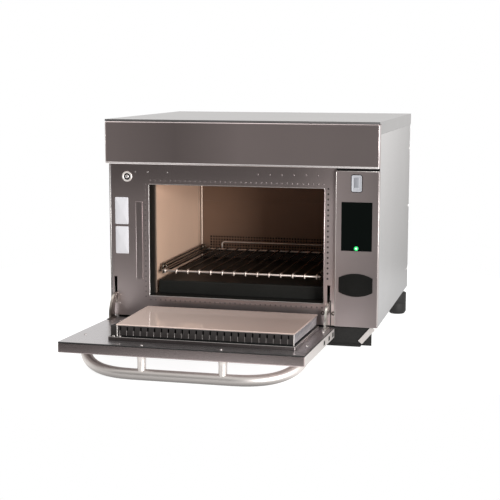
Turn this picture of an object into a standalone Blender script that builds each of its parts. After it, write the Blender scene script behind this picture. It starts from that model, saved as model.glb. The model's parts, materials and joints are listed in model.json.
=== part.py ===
"""Countertop speed oven, built piece by piece in Blender: metres, +Z up, +Y to the back.

The oven stands on its feet at z = 0 with its drop-down door open. The door, its choke and
its handle are modelled shut, in the frame of the hinge axis, and swung open by one empty.
"""
import math

import bmesh
import bpy
from mathutils import Matrix, Vector

# Casing
body_width = 0.638
body_depth = 0.583
body_height = 0.359
hood_height = 0.0973
hood_depth = 0.0197
hood_edge_radius = 0.0024
sheet = 0.0012
touch_gap = 0.0003
cut_overrun = 0.002
weld_gap = 0.00001
axis_weld_gap = 0.00005
facing_share = 0.5
bevel_angle = math.radians(60)
bend_segments = 3
smooth_angle = math.radians(40)
flange_width = 0.0057
rear_flange_width = 0.014
panel_bend_radius = 0.003
base_wall_height = 0.018
cover_lip_height = 0.0034
cover_flange_height = 0.0276
cover_front_gap = 0.0015
cover_hood_gap = 0.0005

# Feet
foot_height = 0.069
foot_radius = 0.0235
foot_sole_radius = 0.019
foot_neck_radius = 0.014
foot_neck_height = 0.012
foot_bevel_height = 0.006
foot_side_inset = 0.024
foot_front_side_inset = 0.080
foot_front_inset = 0.150
foot_rear_inset = 0.026
foot_steps = 20

# Front frame and the mouth of the cavity
frame_setback = 0.020
opening_margin = 0.0998
opening_right_margin = 0.1262
opening_height = 0.2606
opening_rise = 0.050
collar_depth = 0.0405
arm_slot_width = 0.0068
arm_slot_height = 0.063
arm_slot_rise = 0.029

# Cavity
cavity_rear_space = 0.1367
cavity_sheet = 0.0012
wall_flange = 0.006
jet_hole_radius = 0.0021
jet_hole_pitch = 0.0120
jet_hole_sides = 4
jet_field_inset = 0.026
jet_field_height = 0.036
jet_field_rise = 0.046
intake_slot_width = 0.006
intake_slot_height = 0.024
intake_slot_pitch = 0.015
intake_field_inset = 0.041
intake_drop = 0.010
cradle_inset = 0.016
cradle_width = 0.050
cradle_foot = 0.014
cradle_rear_gap = 0.184

# Hinge: the axis lies behind the frame, low in the body
hinge_setback = 0.030
hinge_rise = 0.0085
door_swing = math.radians(88.2)
door_face_offset = 0.013
door_heel = 0.009
hinge_pin_radius = 0.003
hinge_bore_gap = 0.0003
arm_boss_radius = 0.006
arm_tail_inner_radius = 0.034
arm_tail_outer_radius = 0.048
arm_door_inner_radius = 0.025
arm_door_outer_radius = 0.055
arm_thickness = 0.005
arm_tail_angle = math.radians(6.8)
arm_spoke_width = 0.008
arm_foot_thickness = 0.002
arm_foot_width = 0.009
arm_inset = 0.0152
arm_steps = 14
housing_sheet = 0.0014
housing_side_gap = 0.0018
housing_rear_gap = 0.002
housing_headroom = 0.003

# Door
door_depth = 0.0232
door_side_margin = 0.0076
door_panel_gap = 0.0014
door_hood_gap = 0.003
door_sheet = 0.0012
door_edge_radius = 0.0020
seal_thickness = 0.0012
seal_width = 0.006
seal_inset = 0.0008
panel_inset = 0.0006
vent_length = 0.0195
vent_width = 0.011
vent_pitch = 0.058
vent_count = 3
vent_first = 0.0306

# Microwave choke on the inner side of the door
choke_side_gap = 0.0052
choke_end_gap = 0.0052
choke_base_thickness = 0.005
choke_base_growth = 0.0006
choke_reach = 0.0348
choke_cover_thickness = 0.0022
choke_cover_bevel = 0.0007
fence_inset = 0.0022
fence_sheet = 0.0016
fence_slot_pitch = 0.0152
fence_slot_width = 0.0068
fence_slot_foot = 0.0045
fence_slot_head = 0.0065
fence_corner_margin = 0.012

# Handle
handle_radius = 0.012
handle_offset = 0.0382
handle_drop = 0.0198
handle_end_drop = 0.0760
handle_end_inset = 0.0345
handle_bend_width = 0.066
handle_centre_offset = 0.0145
handle_steps = 9
handle_resolution = 3
post_radius = 0.0095
post_spacing = 0.178
post_centre_offset = 0.0105
post_steps = 16

# Control panel
panel_width = 0.098
panel_setback = 0.0085
panel_hood_gap = 0.006
panel_foot_gap = 0.0008
panel_edge_radius = 0.0022
display_width = 0.0688
display_height = 0.1092
display_drop = 0.0695
display_right_margin = 0.0155
display_thickness = 0.0026
display_proud = 0.0004
badge_width = 0.0768
badge_height = 0.0528
badge_side_height = 0.0330
badge_drop = 0.2560
badge_right_margin = 0.0120
badge_thickness = 0.0018
badge_arc_steps = 8

# Service port with its flap
port_width = 0.0228
port_height = 0.0372
port_drop = 0.0090
port_right_margin = 0.0397
flap_thickness = 0.0024
flap_corner_radius = 0.0035
flap_corner_steps = 4
flap_pin_radius = 0.0012
socket_width = 0.0130
socket_height = 0.0090
socket_wall = 0.0011
socket_drop = 0.0235

# Door switch
switch_side_margin = 0.0461
switch_drop = 0.0306
bushing_radius = 0.0125
bushing_bore = 0.0076
bushing_flange = 0.0018
bushing_barrel_radius = 0.0105
bushing_barrel_depth = 0.012
plunger_radius = 0.0046
plunger_proud = 0.0024
plunger_nose_height = 0.001
plunger_travel = 0.003
plunger_stem_radius = 0.0030
plunger_tail = 0.020
switch_box_size = 0.020
switch_box_depth = 0.012
switch_steps = 20

# Wire rack, the wire rails it slides on and the tray under it
rack_wire_radius = 0.0019
rack_bar_radius = 0.0025
rack_wire_count = 14
rack_wire_margin = 0.00785
rack_side_gap = 0.0155
rack_front_gap = 0.0032
rack_rear_gap = 0.0062
rack_bar_rise = 0.0528
rack_tip_drop = 0.007
stop_inset = 0.04475
stop_height = 0.0202
stop_corner_radius = 0.006
stop_corner_steps = 3
rail_wire_radius = 0.0024
rail_guide_radius = 0.0018
rail_stud_radius = 0.0017
rail_post_radius = 0.0026
rail_inset = 0.0177
rail_guide_inset = 0.0095
rail_guide_rises = (0.003, 0.0105)
rail_front_gap = 0.0018
rail_rear_gap = 0.0028
rail_stud_setback = 0.026
rail_ring_radius = 0.0055
rail_ring_wire = 0.0018
rail_ring_inset = 0.0125
rail_ring_rise = 0.0055
rail_ring_steps = 12
tray_side_gap = 0.006
tray_end_gap = 0.0022
tray_height = 0.030
tray_edge_radius = 0.003
wire_resolution = 2

# Convection fan behind the back wall
plenum_side_gap = 0.018
plenum_height = 0.236
plenum_depth = 0.040
plenum_rise = 0.014
fan_radius = 0.088
fan_disc = 0.0015
fan_blade_depth = 0.022
fan_blade_root = 0.045
fan_blade_sheet = 0.0014
fan_blade_count = 14
fan_hub_radius = 0.013
fan_hub_length = 0.016
fan_back_gap = 0.006
shaft_radius = 0.004
shaft_gap = 0.0003
motor_radius = 0.041
motor_length = 0.048
motor_flange_radius = 0.052
motor_flange_thickness = 0.003
motor_steps = 24
fan_steps = 24
heater_radius = 0.0034
heater_ring_radius = 0.101
heater_open_angle = math.radians(36)
heater_steps = 22
heater_tail = 0.030

# Microwave source and electrics
guide_width = 0.210
guide_depth = 0.094
guide_height = 0.036
guide_sheet = 0.0015
magnetron_width = 0.084
magnetron_depth = 0.078
magnetron_height = 0.074
magnetron_yoke = 0.0025
magnetron_core_radius = 0.018
magnetron_fin_count = 5
magnetron_fin_sheet = 0.0012
magnetron_fin_share = 0.9
magnetron_spacing = 0.096
magnetron_steps = 16
transformer_width = 0.084
transformer_depth = 0.066
transformer_height = 0.078
transformer_coil_bulge = 0.010
transformer_coil_height = 0.044
winding_width_share = 0.6
transformer_rear_setback = 0.145
transformer_pitch = 0.108
capacitor_width = 0.052
capacitor_depth = 0.034
capacitor_height = 0.095
capacitor_spacing = 0.068
capacitor_edge_radius = 0.004
terminal_size = 0.006
terminal_height = 0.010
board_width = 0.078
board_height = 0.190
board_sheet = 0.0016
board_standoff = 0.010
board_standoff_radius = 0.003
standoff_sides = 8
board_part_height = 0.012
board_part_shares = ((-0.25, 0.25, 0.12, 0.25), (-0.34, 0.0, 0.50, 0.67))
board_foot_rise = 0.090
electrics_inset = 0.0665

# Cooling fan on the back panel
shroud_size = 0.098
shroud_depth = 0.032
shroud_bore_radius = 0.0455
shroud_rise = 0.236
shroud_corner_radius = 0.006
strut_width = 0.006
strut_depth = 0.004
cooler_radius = 0.0435
cooler_hub_radius = 0.018
cooler_hub_length = 0.019
cooler_blade_count = 7
cooler_blade_chord = 0.015
cooler_blade_sheet = 0.0014
cooler_blade_pitch = math.radians(38)
cooler_shaft_radius = 0.003

# Back panel
grille_slot_width = 0.004
grille_row_pitch = 0.009
side_vent_pitch = 0.010
grille_slot_count = 9
grille_margin = 0.007
side_vent_count = 12
side_vent_length = 0.110
side_vent_rise = 0.120
side_vent_inset = 0.075
gland_reach = 0.014
gland_radius = 0.015
gland_cap_radius = 0.011
gland_bore = 0.0055
gland_rise = 0.036
gland_depth = 0.012

# Air filter under the front
filter_setback = 0.028
filter_height = 0.0462
filter_side_inset = 0.010
filter_slope = 0.030
filter_sheet = 0.002
filter_lip_height = 0.005
filter_lip_depth = 0.006
filter_strip_width = 0.0085
filter_strip_sheet = 0.0012
filter_slot_pitch = 0.020
filter_slot_width = 0.009
filter_slot_margin = 0.009
filter_slot_inset = 0.089

# Places worked out from the sizes above
half_width = body_width / 2
base_z = foot_height
hood_z = base_z + body_height
hood_top_z = hood_z + hood_height
cover_top_z = hood_top_z + cover_hood_gap + cover_lip_height + sheet
hinge_z = base_z + hinge_rise
door_height = body_height - hinge_rise - door_heel - door_hood_gap
door_reach = ((door_heel + door_height) * math.sin(door_swing)
              + (door_face_offset + door_depth) * math.cos(door_swing) - hinge_setback)
hood_y = (door_reach - body_depth - gland_reach) / 2
frame_y = hood_y + frame_setback
frame_back_y = frame_y + sheet
hinge_y = hood_y + hinge_setback
back_y = hood_y + body_depth
side_x = half_width - sheet - touch_gap
opening_left = -half_width + opening_margin
opening_right = half_width - opening_right_margin
opening_width = opening_right - opening_left
opening_x = (opening_left + opening_right) / 2
opening_z = base_z + opening_rise
opening_top = opening_z + opening_height
collar_end_y = frame_back_y + touch_gap + collar_depth
cavity_y = collar_end_y + touch_gap
cavity_end_y = back_y - cavity_rear_space
panel_left = half_width - panel_width
door_left = -half_width + door_side_margin
door_right = panel_left - door_panel_gap
door_x = (door_left + door_right) / 2
door_width = door_right - door_left
handle_end_spread = door_width - 2 * handle_end_inset
handle_bar_spread = handle_end_spread - 2 * handle_bend_width
door_front = -door_face_offset - door_depth
door_inner = -door_face_offset
door_top = door_heel + door_height
arm_xs = (-half_width + arm_inset, door_right - arm_inset + sheet)
rack_width = opening_width - 2 * rack_side_gap
rack_wire_pitch = (rack_width - 2 * rack_wire_margin) / (rack_wire_count - 1)
stop_width = rack_width - 2 * stop_inset
cradle_length = opening_width - 2 * cradle_inset
jet_field_width = opening_width - 2 * jet_field_inset
intake_field_width = opening_width - 2 * intake_field_inset
plenum_width = opening_width - 2 * plenum_side_gap
filter_top_width = body_width - 2 * filter_side_inset
plenum_y = cavity_end_y + cavity_sheet + touch_gap * 2
plenum_end_y = plenum_y + plenum_depth
plenum_z = opening_z + plenum_rise
fan_z = plenum_z + plenum_height / 2
fan_disc_y = plenum_end_y - sheet - fan_back_gap
electrics_x = side_x - sheet - electrics_inset
transformer_y = back_y - transformer_rear_setback
shroud_x = electrics_x
shroud_z = base_z + shroud_rise + shroud_size / 2
shroud_y = back_y - sheet - touch_gap - shroud_depth
panel_y = hood_y + panel_setback
panel_top = hood_z - panel_hood_gap


def clear_scene():
    """Start from an empty scene, whatever file this runs in."""
    for old in list(bpy.data.objects):
        bpy.data.objects.remove(old, do_unlink=True)
    for old in list(bpy.data.collections):
        bpy.data.collections.remove(old)


clear_scene()
oven = bpy.data.collections.new("speed_oven")
cutters = bpy.data.collections.new("cutters")
bpy.context.scene.collection.children.link(oven)
bpy.context.scene.collection.children.link(cutters)

finishes = {
    "brushed_steel": ((0.47, 0.44, 0.42), 0.32, 1.0),
    "bright_steel": ((0.72, 0.71, 0.69), 0.16, 1.0),
    "casing_steel": ((0.66, 0.66, 0.66), 0.38, 1.0),
    "cavity_steel": ((0.40, 0.31, 0.25), 0.28, 1.0),
    "plated_steel": ((0.60, 0.60, 0.57), 0.45, 1.0),
    "polished_tube": ((0.62, 0.58, 0.55), 0.14, 1.0),
    "black_enamel": ((0.02, 0.02, 0.018), 0.35, 0.0),
    "black_rubber": ((0.02, 0.02, 0.02), 0.75, 0.0),
    "black_plastic": ((0.03, 0.03, 0.03), 0.5, 0.0),
    "choke_polymer": ((0.60, 0.50, 0.44), 0.4, 0.0),
    "display_glass": ((0.004, 0.006, 0.006), 0.06, 0.0),
    "grey_plastic": ((0.52, 0.53, 0.55), 0.45, 0.0),
    "copper_wire": ((0.55, 0.25, 0.12), 0.4, 1.0),
    "core_steel": ((0.18, 0.18, 0.19), 0.55, 1.0),
    "aluminium": ((0.70, 0.70, 0.70), 0.4, 1.0),
    "board_green": ((0.03, 0.17, 0.08), 0.55, 0.0),
}


def paint(piece, finish):
    """Give a piece its own material in one of the oven's finishes."""
    colour, roughness, metallic = finishes[finish]
    material = bpy.data.materials.new(piece.name)
    material.use_nodes = True
    shader = material.node_tree.nodes["Principled BSDF"]
    shader.inputs["Base Color"].default_value = (*colour, 1)
    shader.inputs["Roughness"].default_value = roughness
    shader.inputs["Metallic"].default_value = metallic
    piece.data.materials.append(material)


def show(piece, finish, holder=None):
    """Put a finished piece in the oven's collection, in the frame of its holder."""
    oven.objects.link(piece)
    piece.parent = holder
    paint(piece, finish)
    return piece


def hide(piece, holder=None):
    """Put a cutter, or a shape that is united with a piece, out of sight."""
    for collection in list(piece.users_collection):
        collection.objects.unlink(piece)
    cutters.objects.link(piece)
    piece.parent = holder
    piece.hide_render = True
    piece.display_type = "WIRE"
    return piece


def object_from(form, name):
    """An object whose mesh is the given bmesh, which is freed."""
    mesh = bpy.data.meshes.new(name)
    form.to_mesh(mesh)
    form.free()
    return bpy.data.objects.new(name, mesh)


def block(name, low, high):
    """A rectangular solid between two corners, with its origin at its middle."""
    size = [b - a for a, b in zip(low, high)]
    form = bmesh.new()
    bmesh.ops.create_cube(form, size=1)
    bmesh.ops.scale(form, vec=size, verts=form.verts)
    piece = object_from(form, name)
    piece.location = [(a + b) / 2 for a, b in zip(low, high)]
    return piece


def blocks(name, corners):
    """Several separate rectangular solids in one mesh, used to cut or to unite at once."""
    form = bmesh.new()
    for low, high in corners:
        size = [b - a for a, b in zip(low, high)]
        middle = [(a + b) / 2 for a, b in zip(low, high)]
        made = bmesh.ops.create_cube(form, size=1)["verts"]
        bmesh.ops.scale(form, vec=size, verts=made)
        bmesh.ops.translate(form, vec=middle, verts=made)
    return object_from(form, name)


def tray(name, low, high, open_sides, wall, bend=0.0):
    """A sheet-metal tray: a box without its open sides, folded from sheet of one thickness.

    The bends get their radius before the sheet gets its wall, so both faces of the sheet are round.
    """
    piece = block(name, low, high)
    form = bmesh.new()
    form.from_mesh(piece.data)
    form.normal_update()
    gone = []
    for side in open_sides:
        gone += [face for face in form.faces if face.normal.dot(Vector(side)) > facing_share]
    bmesh.ops.delete(form, geom=gone, context="FACES")
    form.to_mesh(piece.data)
    form.free()
    if bend > 0:
        bevel(piece, bend, bend_segments)
    solidify(piece, wall)
    return piece


def solidify(piece, wall):
    """Give an open surface its wall, inside the surface."""
    shell = piece.modifiers.new("wall", "SOLIDIFY")
    shell.thickness = wall
    shell.offset = -1
    shell.use_even_offset = True
    shell.use_rim = True


def bevel(piece, width, segments=2):
    """Round the sharp edges of a piece."""
    rounding = piece.modifiers.new("rounding", "BEVEL")
    rounding.width = width
    rounding.segments = segments
    rounding.limit_method = "ANGLE"
    rounding.angle_limit = bevel_angle


def carve(piece, cutter, holder=None):
    """Cut one shape out of a piece."""
    hide(cutter, holder)
    cut = piece.modifiers.new(cutter.name, "BOOLEAN")
    cut.operation = "DIFFERENCE"
    cut.solver = "EXACT"
    cut.object = cutter


def unite(piece, other, holder=None):
    """Make a shape that overlaps a piece one body with it."""
    hide(other, holder)
    union = piece.modifiers.new(other.name, "BOOLEAN")
    union.operation = "UNION"
    union.solver = "EXACT"
    union.object = other


def rod(name, radius, length, middle, direction, steps):
    """A plain cylinder along one of the axes, centred on a point."""
    form = bmesh.new()
    bmesh.ops.create_cone(form, cap_ends=True, segments=steps, radius1=radius, radius2=radius, depth=length)
    turn = Vector((0, 0, 1)).rotation_difference(Vector(direction)).to_matrix()
    bmesh.ops.rotate(form, cent=(0, 0, 0), matrix=turn, verts=form.verts)
    piece = object_from(form, name)
    piece.location = middle
    piece.data.shade_smooth()
    piece.data.set_sharp_from_angle(angle=smooth_angle)
    return piece


def turned(name, profile, place, direction, steps):
    """A turned piece: its profile of (radius, height) pairs runs down the outside and is screwed round."""
    form = bmesh.new()
    corners = [form.verts.new((radius, 0, height)) for radius, height in profile]
    for first, second in zip(corners, corners[1:]):
        form.edges.new((first, second))
    if profile[0][0] > 0:
        form.edges.new((corners[-1], corners[0]))
    piece = object_from(form, name)
    piece.location = place
    piece.rotation_mode = "QUATERNION"
    piece.rotation_quaternion = Vector((0, 0, 1)).rotation_difference(Vector(direction))
    screw = piece.modifiers.new("turned", "SCREW")
    screw.steps = steps
    screw.render_steps = steps
    screw.use_merge_vertices = True
    screw.merge_threshold = axis_weld_gap
    screw.use_smooth_shade = True
    return piece


def tube(name, points, radius, resolution, closed=False):
    """A round tube or wire through points, with capped ends or closed on itself."""
    path = bpy.data.curves.new(name, "CURVE")
    path.dimensions = "3D"
    path.bevel_depth = radius
    path.bevel_resolution = resolution
    path.use_fill_caps = not closed
    line = path.splines.new("POLY")
    line.points.add(len(points) - 1)
    line.use_cyclic_u = closed
    for point, place in zip(line.points, points):
        point.co = (*place, 1)
    return bpy.data.objects.new(name, path)


def flat_outline(name, points, thickness):
    """A flat piece in its own XY plane, with its outline filled and its thickness along Z."""
    path = bpy.data.curves.new(name, "CURVE")
    path.dimensions = "2D"
    path.fill_mode = "BOTH"
    path.extrude = thickness / 2
    line = path.splines.new("POLY")
    line.points.add(len(points) - 1)
    for point, (across, along) in zip(line.points, points):
        point.co = (across, along, 0, 1)
    line.use_cyclic_u = True
    return bpy.data.objects.new(name, path)


def as_mesh(shape):
    """Turn a curve into a closed mesh, so that it can be cut or united."""
    oven.objects.link(shape)
    bpy.context.view_layer.update()
    evaluated = shape.evaluated_get(bpy.context.evaluated_depsgraph_get())
    mesh = bpy.data.meshes.new_from_object(evaluated)
    form = bmesh.new()
    form.from_mesh(mesh)
    bmesh.ops.remove_doubles(form, verts=form.verts, dist=weld_gap)
    bmesh.ops.recalc_face_normals(form, faces=form.faces)
    form.to_mesh(mesh)
    form.free()
    name, place = shape.name, shape.matrix_world.copy()
    bpy.data.objects.remove(shape)
    piece = bpy.data.objects.new(name, mesh)
    piece.matrix_world = place
    return piece


def combined(name, shapes):
    """Separate meshes as one, so that one Boolean can use them all."""
    form = bmesh.new()
    for shape in shapes:
        start = len(form.verts)
        form.from_mesh(shape.data)
        form.verts.ensure_lookup_table()
        bmesh.ops.transform(form, matrix=shape.matrix_basis, verts=form.verts[start:])
        bpy.data.objects.remove(shape)
    return object_from(form, name)


def folded_sheet(name, line, along, low, high, wall, bend=0.0):
    """Sheet metal folded along a line of (a, b) points and running from low to high along one axis.

    The line lies in XY for along = 2, in XZ for along = 1 and in YZ for along = 0. The wall grows to
    the line's left, as seen with a to the right and b up.
    """
    form = bmesh.new()
    rows = []
    for level in (low, high):
        places = [[a, b] for a, b in line]
        for place in places:
            place.insert(along, level)
        rows.append([form.verts.new(place) for place in places])
    for step in range(len(line) - 1):
        form.faces.new((rows[0][step], rows[0][step + 1], rows[1][step + 1], rows[1][step]))
    piece = object_from(form, name)
    if bend > 0:
        bevel(piece, bend, bend_segments)
    solidify(piece, wall)
    if along == 1:
        piece.data.flip_normals()
    return piece


def empty(name, place, turn=0.0):
    """An axis that moving pieces hang on."""
    axis = bpy.data.objects.new(name, None)
    oven.objects.link(axis)
    axis.location = place
    axis.rotation_euler = (turn, 0, 0)
    return axis


def make_base_pan():
    """The floor of the casing: a tray with its side and back walls turned up."""
    low = (-side_x + sheet + touch_gap, frame_y + panel_bend_radius, base_z)
    high = (side_x - sheet - touch_gap, back_y - sheet - touch_gap - panel_bend_radius,
            base_z + base_wall_height)
    pan = tray("base_pan", low, high, [(0, 0, 1), (0, -1, 0)], sheet)
    show(pan, "plated_steel")


def make_feet():
    """Four tall rubber feet, each turned, standing on their soles."""
    top = base_z - touch_gap
    profile = [
        (0, top),
        (foot_neck_radius, top),
        (foot_neck_radius, top - foot_neck_height),
        (foot_radius, top - foot_neck_height),
        (foot_radius, foot_bevel_height),
        (foot_sole_radius, 0),
        (0, 0),
    ]
    front_y = hood_y + foot_front_inset
    rear_y = back_y - foot_rear_inset
    side = half_width - foot_side_inset
    front_side = half_width - foot_front_side_inset
    places = {
        "foot_front_left": (-front_side, front_y, 0),
        "foot_front_right": (front_side, front_y, 0),
        "foot_rear_left": (-side, rear_y, 0),
        "foot_rear_right": (side, rear_y, 0),
    }
    for name, place in places.items():
        show(turned(name, profile, place, (0, 0, 1), foot_steps), "black_rubber")


def make_side_panels():
    """The two sides: sheets with a narrow flange at the front and a wider one at the back."""
    rear_y = back_y - sheet - touch_gap
    top = hood_top_z
    for name, side in (("left_side_panel", -1), ("right_side_panel", 1)):
        line = [
            (side * (side_x - flange_width), frame_y),
            (side * side_x, frame_y),
            (side * side_x, rear_y),
            (side * (side_x - rear_flange_width), rear_y),
        ]
        line = line if side > 0 else line[::-1]
        panel = folded_sheet(name, line, 2, base_z + touch_gap, top, sheet, panel_bend_radius)
        show(panel, "casing_steel")


def slots_between(low_x, high_x, low_z, high_z, count, width, y_low, y_high):
    """Corners of level slots, evenly spaced up a field."""
    step = (high_z - low_z) / count
    rows = [low_z + step * (row + 1 / 2) for row in range(count)]
    return [((low_x, y_low, row - width / 2), (high_x, y_high, row + width / 2)) for row in rows]


def make_back_panel():
    """The back: a flat sheet with a fan grille and a field of side vents."""
    low = (-side_x, back_y - sheet, base_z + touch_gap)
    high = (side_x, back_y, hood_top_z)
    panel = block("back_panel", low, high)
    y_low, y_high = back_y - sheet - cut_overrun, back_y + cut_overrun
    reach = shroud_bore_radius - grille_margin / 2
    grille = []
    for row in range(grille_slot_count):
        offset = (row - (grille_slot_count - 1) / 2) * grille_row_pitch
        half = math.sqrt(max(reach ** 2 - offset ** 2, 0))
        z = shroud_z + offset
        grille.append(((shroud_x - half, y_low, z - grille_slot_width / 2),
                       (shroud_x + half, y_high, z + grille_slot_width / 2)))
    carve(panel, blocks("fan_grille_slots", grille))
    left = -side_x + side_vent_inset
    field = slots_between(left, left + side_vent_length, base_z + side_vent_rise,
                          base_z + side_vent_rise + side_vent_count * side_vent_pitch,
                          side_vent_count, grille_slot_width, y_low, y_high)
    carve(panel, blocks("side_vent_slots", field))
    gland = (electrics_x, back_y - sheet / 2, base_z + gland_rise)
    length = sheet + cut_overrun * 2
    carve(panel, rod("gland_hole", gland_cap_radius, length, gland, (0, 1, 0), switch_steps))
    show(panel, "casing_steel")


def make_top_cover():
    """The lid: a sheet folded down over both sides, with a low lip along the front."""
    front_y = hood_y + cover_front_gap
    flange_z = cover_top_z - cover_flange_height
    line = [
        (-half_width, flange_z),
        (-half_width, cover_top_z),
        (half_width, cover_top_z),
        (half_width, flange_z),
    ]
    cover = folded_sheet("top_cover", line[::-1], 1, front_y, back_y, sheet)
    notch_low = (-body_width, hood_y - cut_overrun, base_z)
    notch_high = (body_width, hood_y + hood_depth + touch_gap, hood_top_z + cover_hood_gap)
    carve(cover, block("cover_hood_notch", notch_low, notch_high))
    lip_low = (-half_width, front_y, hood_top_z + cover_hood_gap)
    lip_high = (half_width, front_y + sheet, cover_top_z)
    unite(cover, block("cover_lip", lip_low, lip_high))
    rear_low = (-half_width + sheet / 2, back_y - sheet, hood_top_z + touch_gap)
    rear_high = (half_width - sheet / 2, back_y, cover_top_z - sheet / 2)
    unite(cover, block("cover_rear_lip", rear_low, rear_high))
    show(cover, "casing_steel")


def make_hood():
    """The deep band above the door and the panel: a tray with a rounded face."""
    low = (-half_width, hood_y, hood_z)
    high = (half_width, hood_y + hood_depth, hood_top_z)
    hood = tray("hood_front", low, high, [(0, 1, 0)], sheet, hood_edge_radius)
    show(hood, "brushed_steel")


def make_front_frame():
    """The plate behind the door, with the cavity's mouth, the hinge slots and the switch hole."""
    low = (-side_x + flange_width + touch_gap, frame_y, base_z + touch_gap)
    high = (side_x - flange_width - touch_gap, frame_back_y, hood_top_z - sheet)
    frame = block("front_frame", low, high)
    y_low, y_high = frame_y - cut_overrun, frame_back_y + cut_overrun
    holes = [((opening_left, y_low, opening_z), (opening_right, y_high, opening_top))]
    slot_z = base_z + arm_slot_rise
    for x in arm_xs:
        holes.append(((x - arm_slot_width / 2, y_low, slot_z),
                      (x + arm_slot_width / 2, y_high, slot_z + arm_slot_height)))
    carve(frame, blocks("frame_holes", holes))
    place = (-half_width + switch_side_margin, frame_y + sheet / 2, hood_z - switch_drop)
    bore = bushing_barrel_radius + touch_gap
    carve(frame, rod("switch_hole", bore, sheet + cut_overrun * 2, place, (0, 1, 0), switch_steps))
    show(frame, "brushed_steel")


def make_collar():
    """The sleeve that the choke seats in, between the frame and the cavity."""
    low = (opening_left - cavity_sheet, frame_back_y + touch_gap, opening_z - cavity_sheet)
    high = (opening_right + cavity_sheet, collar_end_y, opening_top + cavity_sheet)
    collar = tray("choke_collar", low, high, [(0, 1, 0), (0, -1, 0)], cavity_sheet)
    show(collar, "black_enamel")


def make_cavity_walls():
    """Left and right walls, ceiling and floor of the cavity, each with flanges turned outwards."""
    for name, x, side in (("cavity_left_wall", opening_left, -1), ("cavity_right_wall", opening_right, 1)):
        line = [
            (x + side * wall_flange, opening_z),
            (x, opening_z),
            (x, opening_top),
            (x + side * wall_flange, opening_top),
        ]
        wall = folded_sheet(name, line if side < 0 else line[::-1], 1, cavity_y, cavity_end_y, cavity_sheet)
        show(wall, "cavity_steel")
    left, right = opening_left - wall_flange, opening_right + wall_flange
    ceiling = block("cavity_ceiling", (left, cavity_y, opening_top + touch_gap),
                    (right, cavity_end_y, opening_top + touch_gap + cavity_sheet))
    show(ceiling, "cavity_steel")
    floor = block("cavity_floor", (left, cavity_y, opening_z - touch_gap - cavity_sheet),
                  (right, cavity_end_y, opening_z - touch_gap))
    show(floor, "black_enamel")


def make_back_wall():
    """The back wall of the cavity, with rows of jets low down and intake slots under the ceiling."""
    y = cavity_end_y + touch_gap
    low = (opening_left - cavity_sheet, y, opening_z - touch_gap - cavity_sheet)
    high = (opening_right + cavity_sheet, y + cavity_sheet, opening_top + touch_gap + cavity_sheet)
    wall = block("cavity_back_wall", low, high)
    columns = round(jet_field_width / jet_hole_pitch)
    rows = round(jet_field_height / jet_hole_pitch)
    left = opening_x - (columns - 1) * jet_hole_pitch / 2
    bottom = opening_z + jet_field_rise + jet_hole_pitch / 2
    middle_y, length = y + cavity_sheet / 2, cavity_sheet + cut_overrun * 2
    slot_top = opening_top - intake_drop
    intake = []
    slot_count = round(intake_field_width / intake_slot_pitch)
    for number in range(slot_count):
        x = opening_x + (number - (slot_count - 1) / 2) * intake_slot_pitch
        intake.append(((x - intake_slot_width / 2, y - cut_overrun, slot_top - intake_slot_height),
                       (x + intake_slot_width / 2, y + cavity_sheet + cut_overrun, slot_top)))
    carve(wall, blocks("intake_slots", intake))
    jets = [rod("jet", jet_hole_radius, length,
                (left + column * jet_hole_pitch, middle_y, bottom + row * jet_hole_pitch),
                (0, 1, 0), jet_hole_sides)
            for column in range(columns) for row in range(rows)]
    carve(wall, combined("jet_holes", jets))
    show(wall, "cavity_steel")


def make_cradle():
    """The folded bracket that carries the back of the cavity on the base pan."""
    low_z = base_z + sheet + touch_gap
    high_z = opening_z - cavity_sheet - touch_gap * 2 - sheet
    y = cavity_end_y - cradle_rear_gap
    half = cradle_width / 2
    line = [
        (y - half - cradle_foot, low_z),
        (y - half, low_z),
        (y - half, high_z),
        (y + half, high_z),
        (y + half, low_z),
        (y + half + cradle_foot, low_z),
    ]
    cradle = folded_sheet("cavity_cradle", line, 0, opening_x - cradle_length / 2,
                          opening_x + cradle_length / 2, sheet)
    show(cradle, "plated_steel")


def make_plenum():
    """The box behind the back wall that holds the convection fan and its heater."""
    x = opening_x
    low = (x - plenum_width / 2, plenum_y, plenum_z)
    high = (x + plenum_width / 2, plenum_end_y, plenum_z + plenum_height)
    box = tray("fan_plenum", low, high, [(0, -1, 0)], sheet)
    middle = plenum_end_y - sheet / 2
    length = sheet + cut_overrun * 2
    shaft_hole = shaft_radius + cut_overrun
    carve(box, rod("shaft_hole", shaft_hole, length, (x, middle, fan_z), (0, 1, 0), fan_steps))
    tail_hole = heater_radius + touch_gap
    for number, tail_x in enumerate(heater_tail_xs()):
        place = (tail_x, middle, heater_tail_z())
        carve(box, rod("heater_hole_%d" % number, tail_hole, length, place, (0, 1, 0), switch_steps))
    show(box, "plated_steel")


def heater_tail_xs():
    """Where the two ends of the heater leave the plenum, across the oven."""
    half = heater_ring_radius * math.sin(heater_open_angle / 2)
    return opening_x - half, opening_x + half


def heater_tail_z():
    """The height of the heater's ends."""
    return fan_z - heater_ring_radius * math.cos(heater_open_angle / 2)


def make_heater():
    """A tubular heater: an open ring round the fan whose ends turn back through the plenum."""
    y = (plenum_y + fan_disc_y) / 2
    start = -math.pi / 2 + heater_open_angle / 2
    sweep = 2 * math.pi - heater_open_angle
    ring = []
    for step in range(heater_steps + 1):
        angle = start + sweep * step / heater_steps
        ring.append((opening_x + heater_ring_radius * math.cos(angle), y,
                     fan_z + heater_ring_radius * math.sin(angle)))
    tail_y = y + heater_tail
    points = [(ring[0][0], tail_y, ring[0][2]), *ring, (ring[-1][0], tail_y, ring[-1][2])]
    heater = as_mesh(tube("heater_coil", points, heater_radius, wire_resolution))
    heater.data.shade_smooth()
    show(heater, "core_steel")


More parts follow.
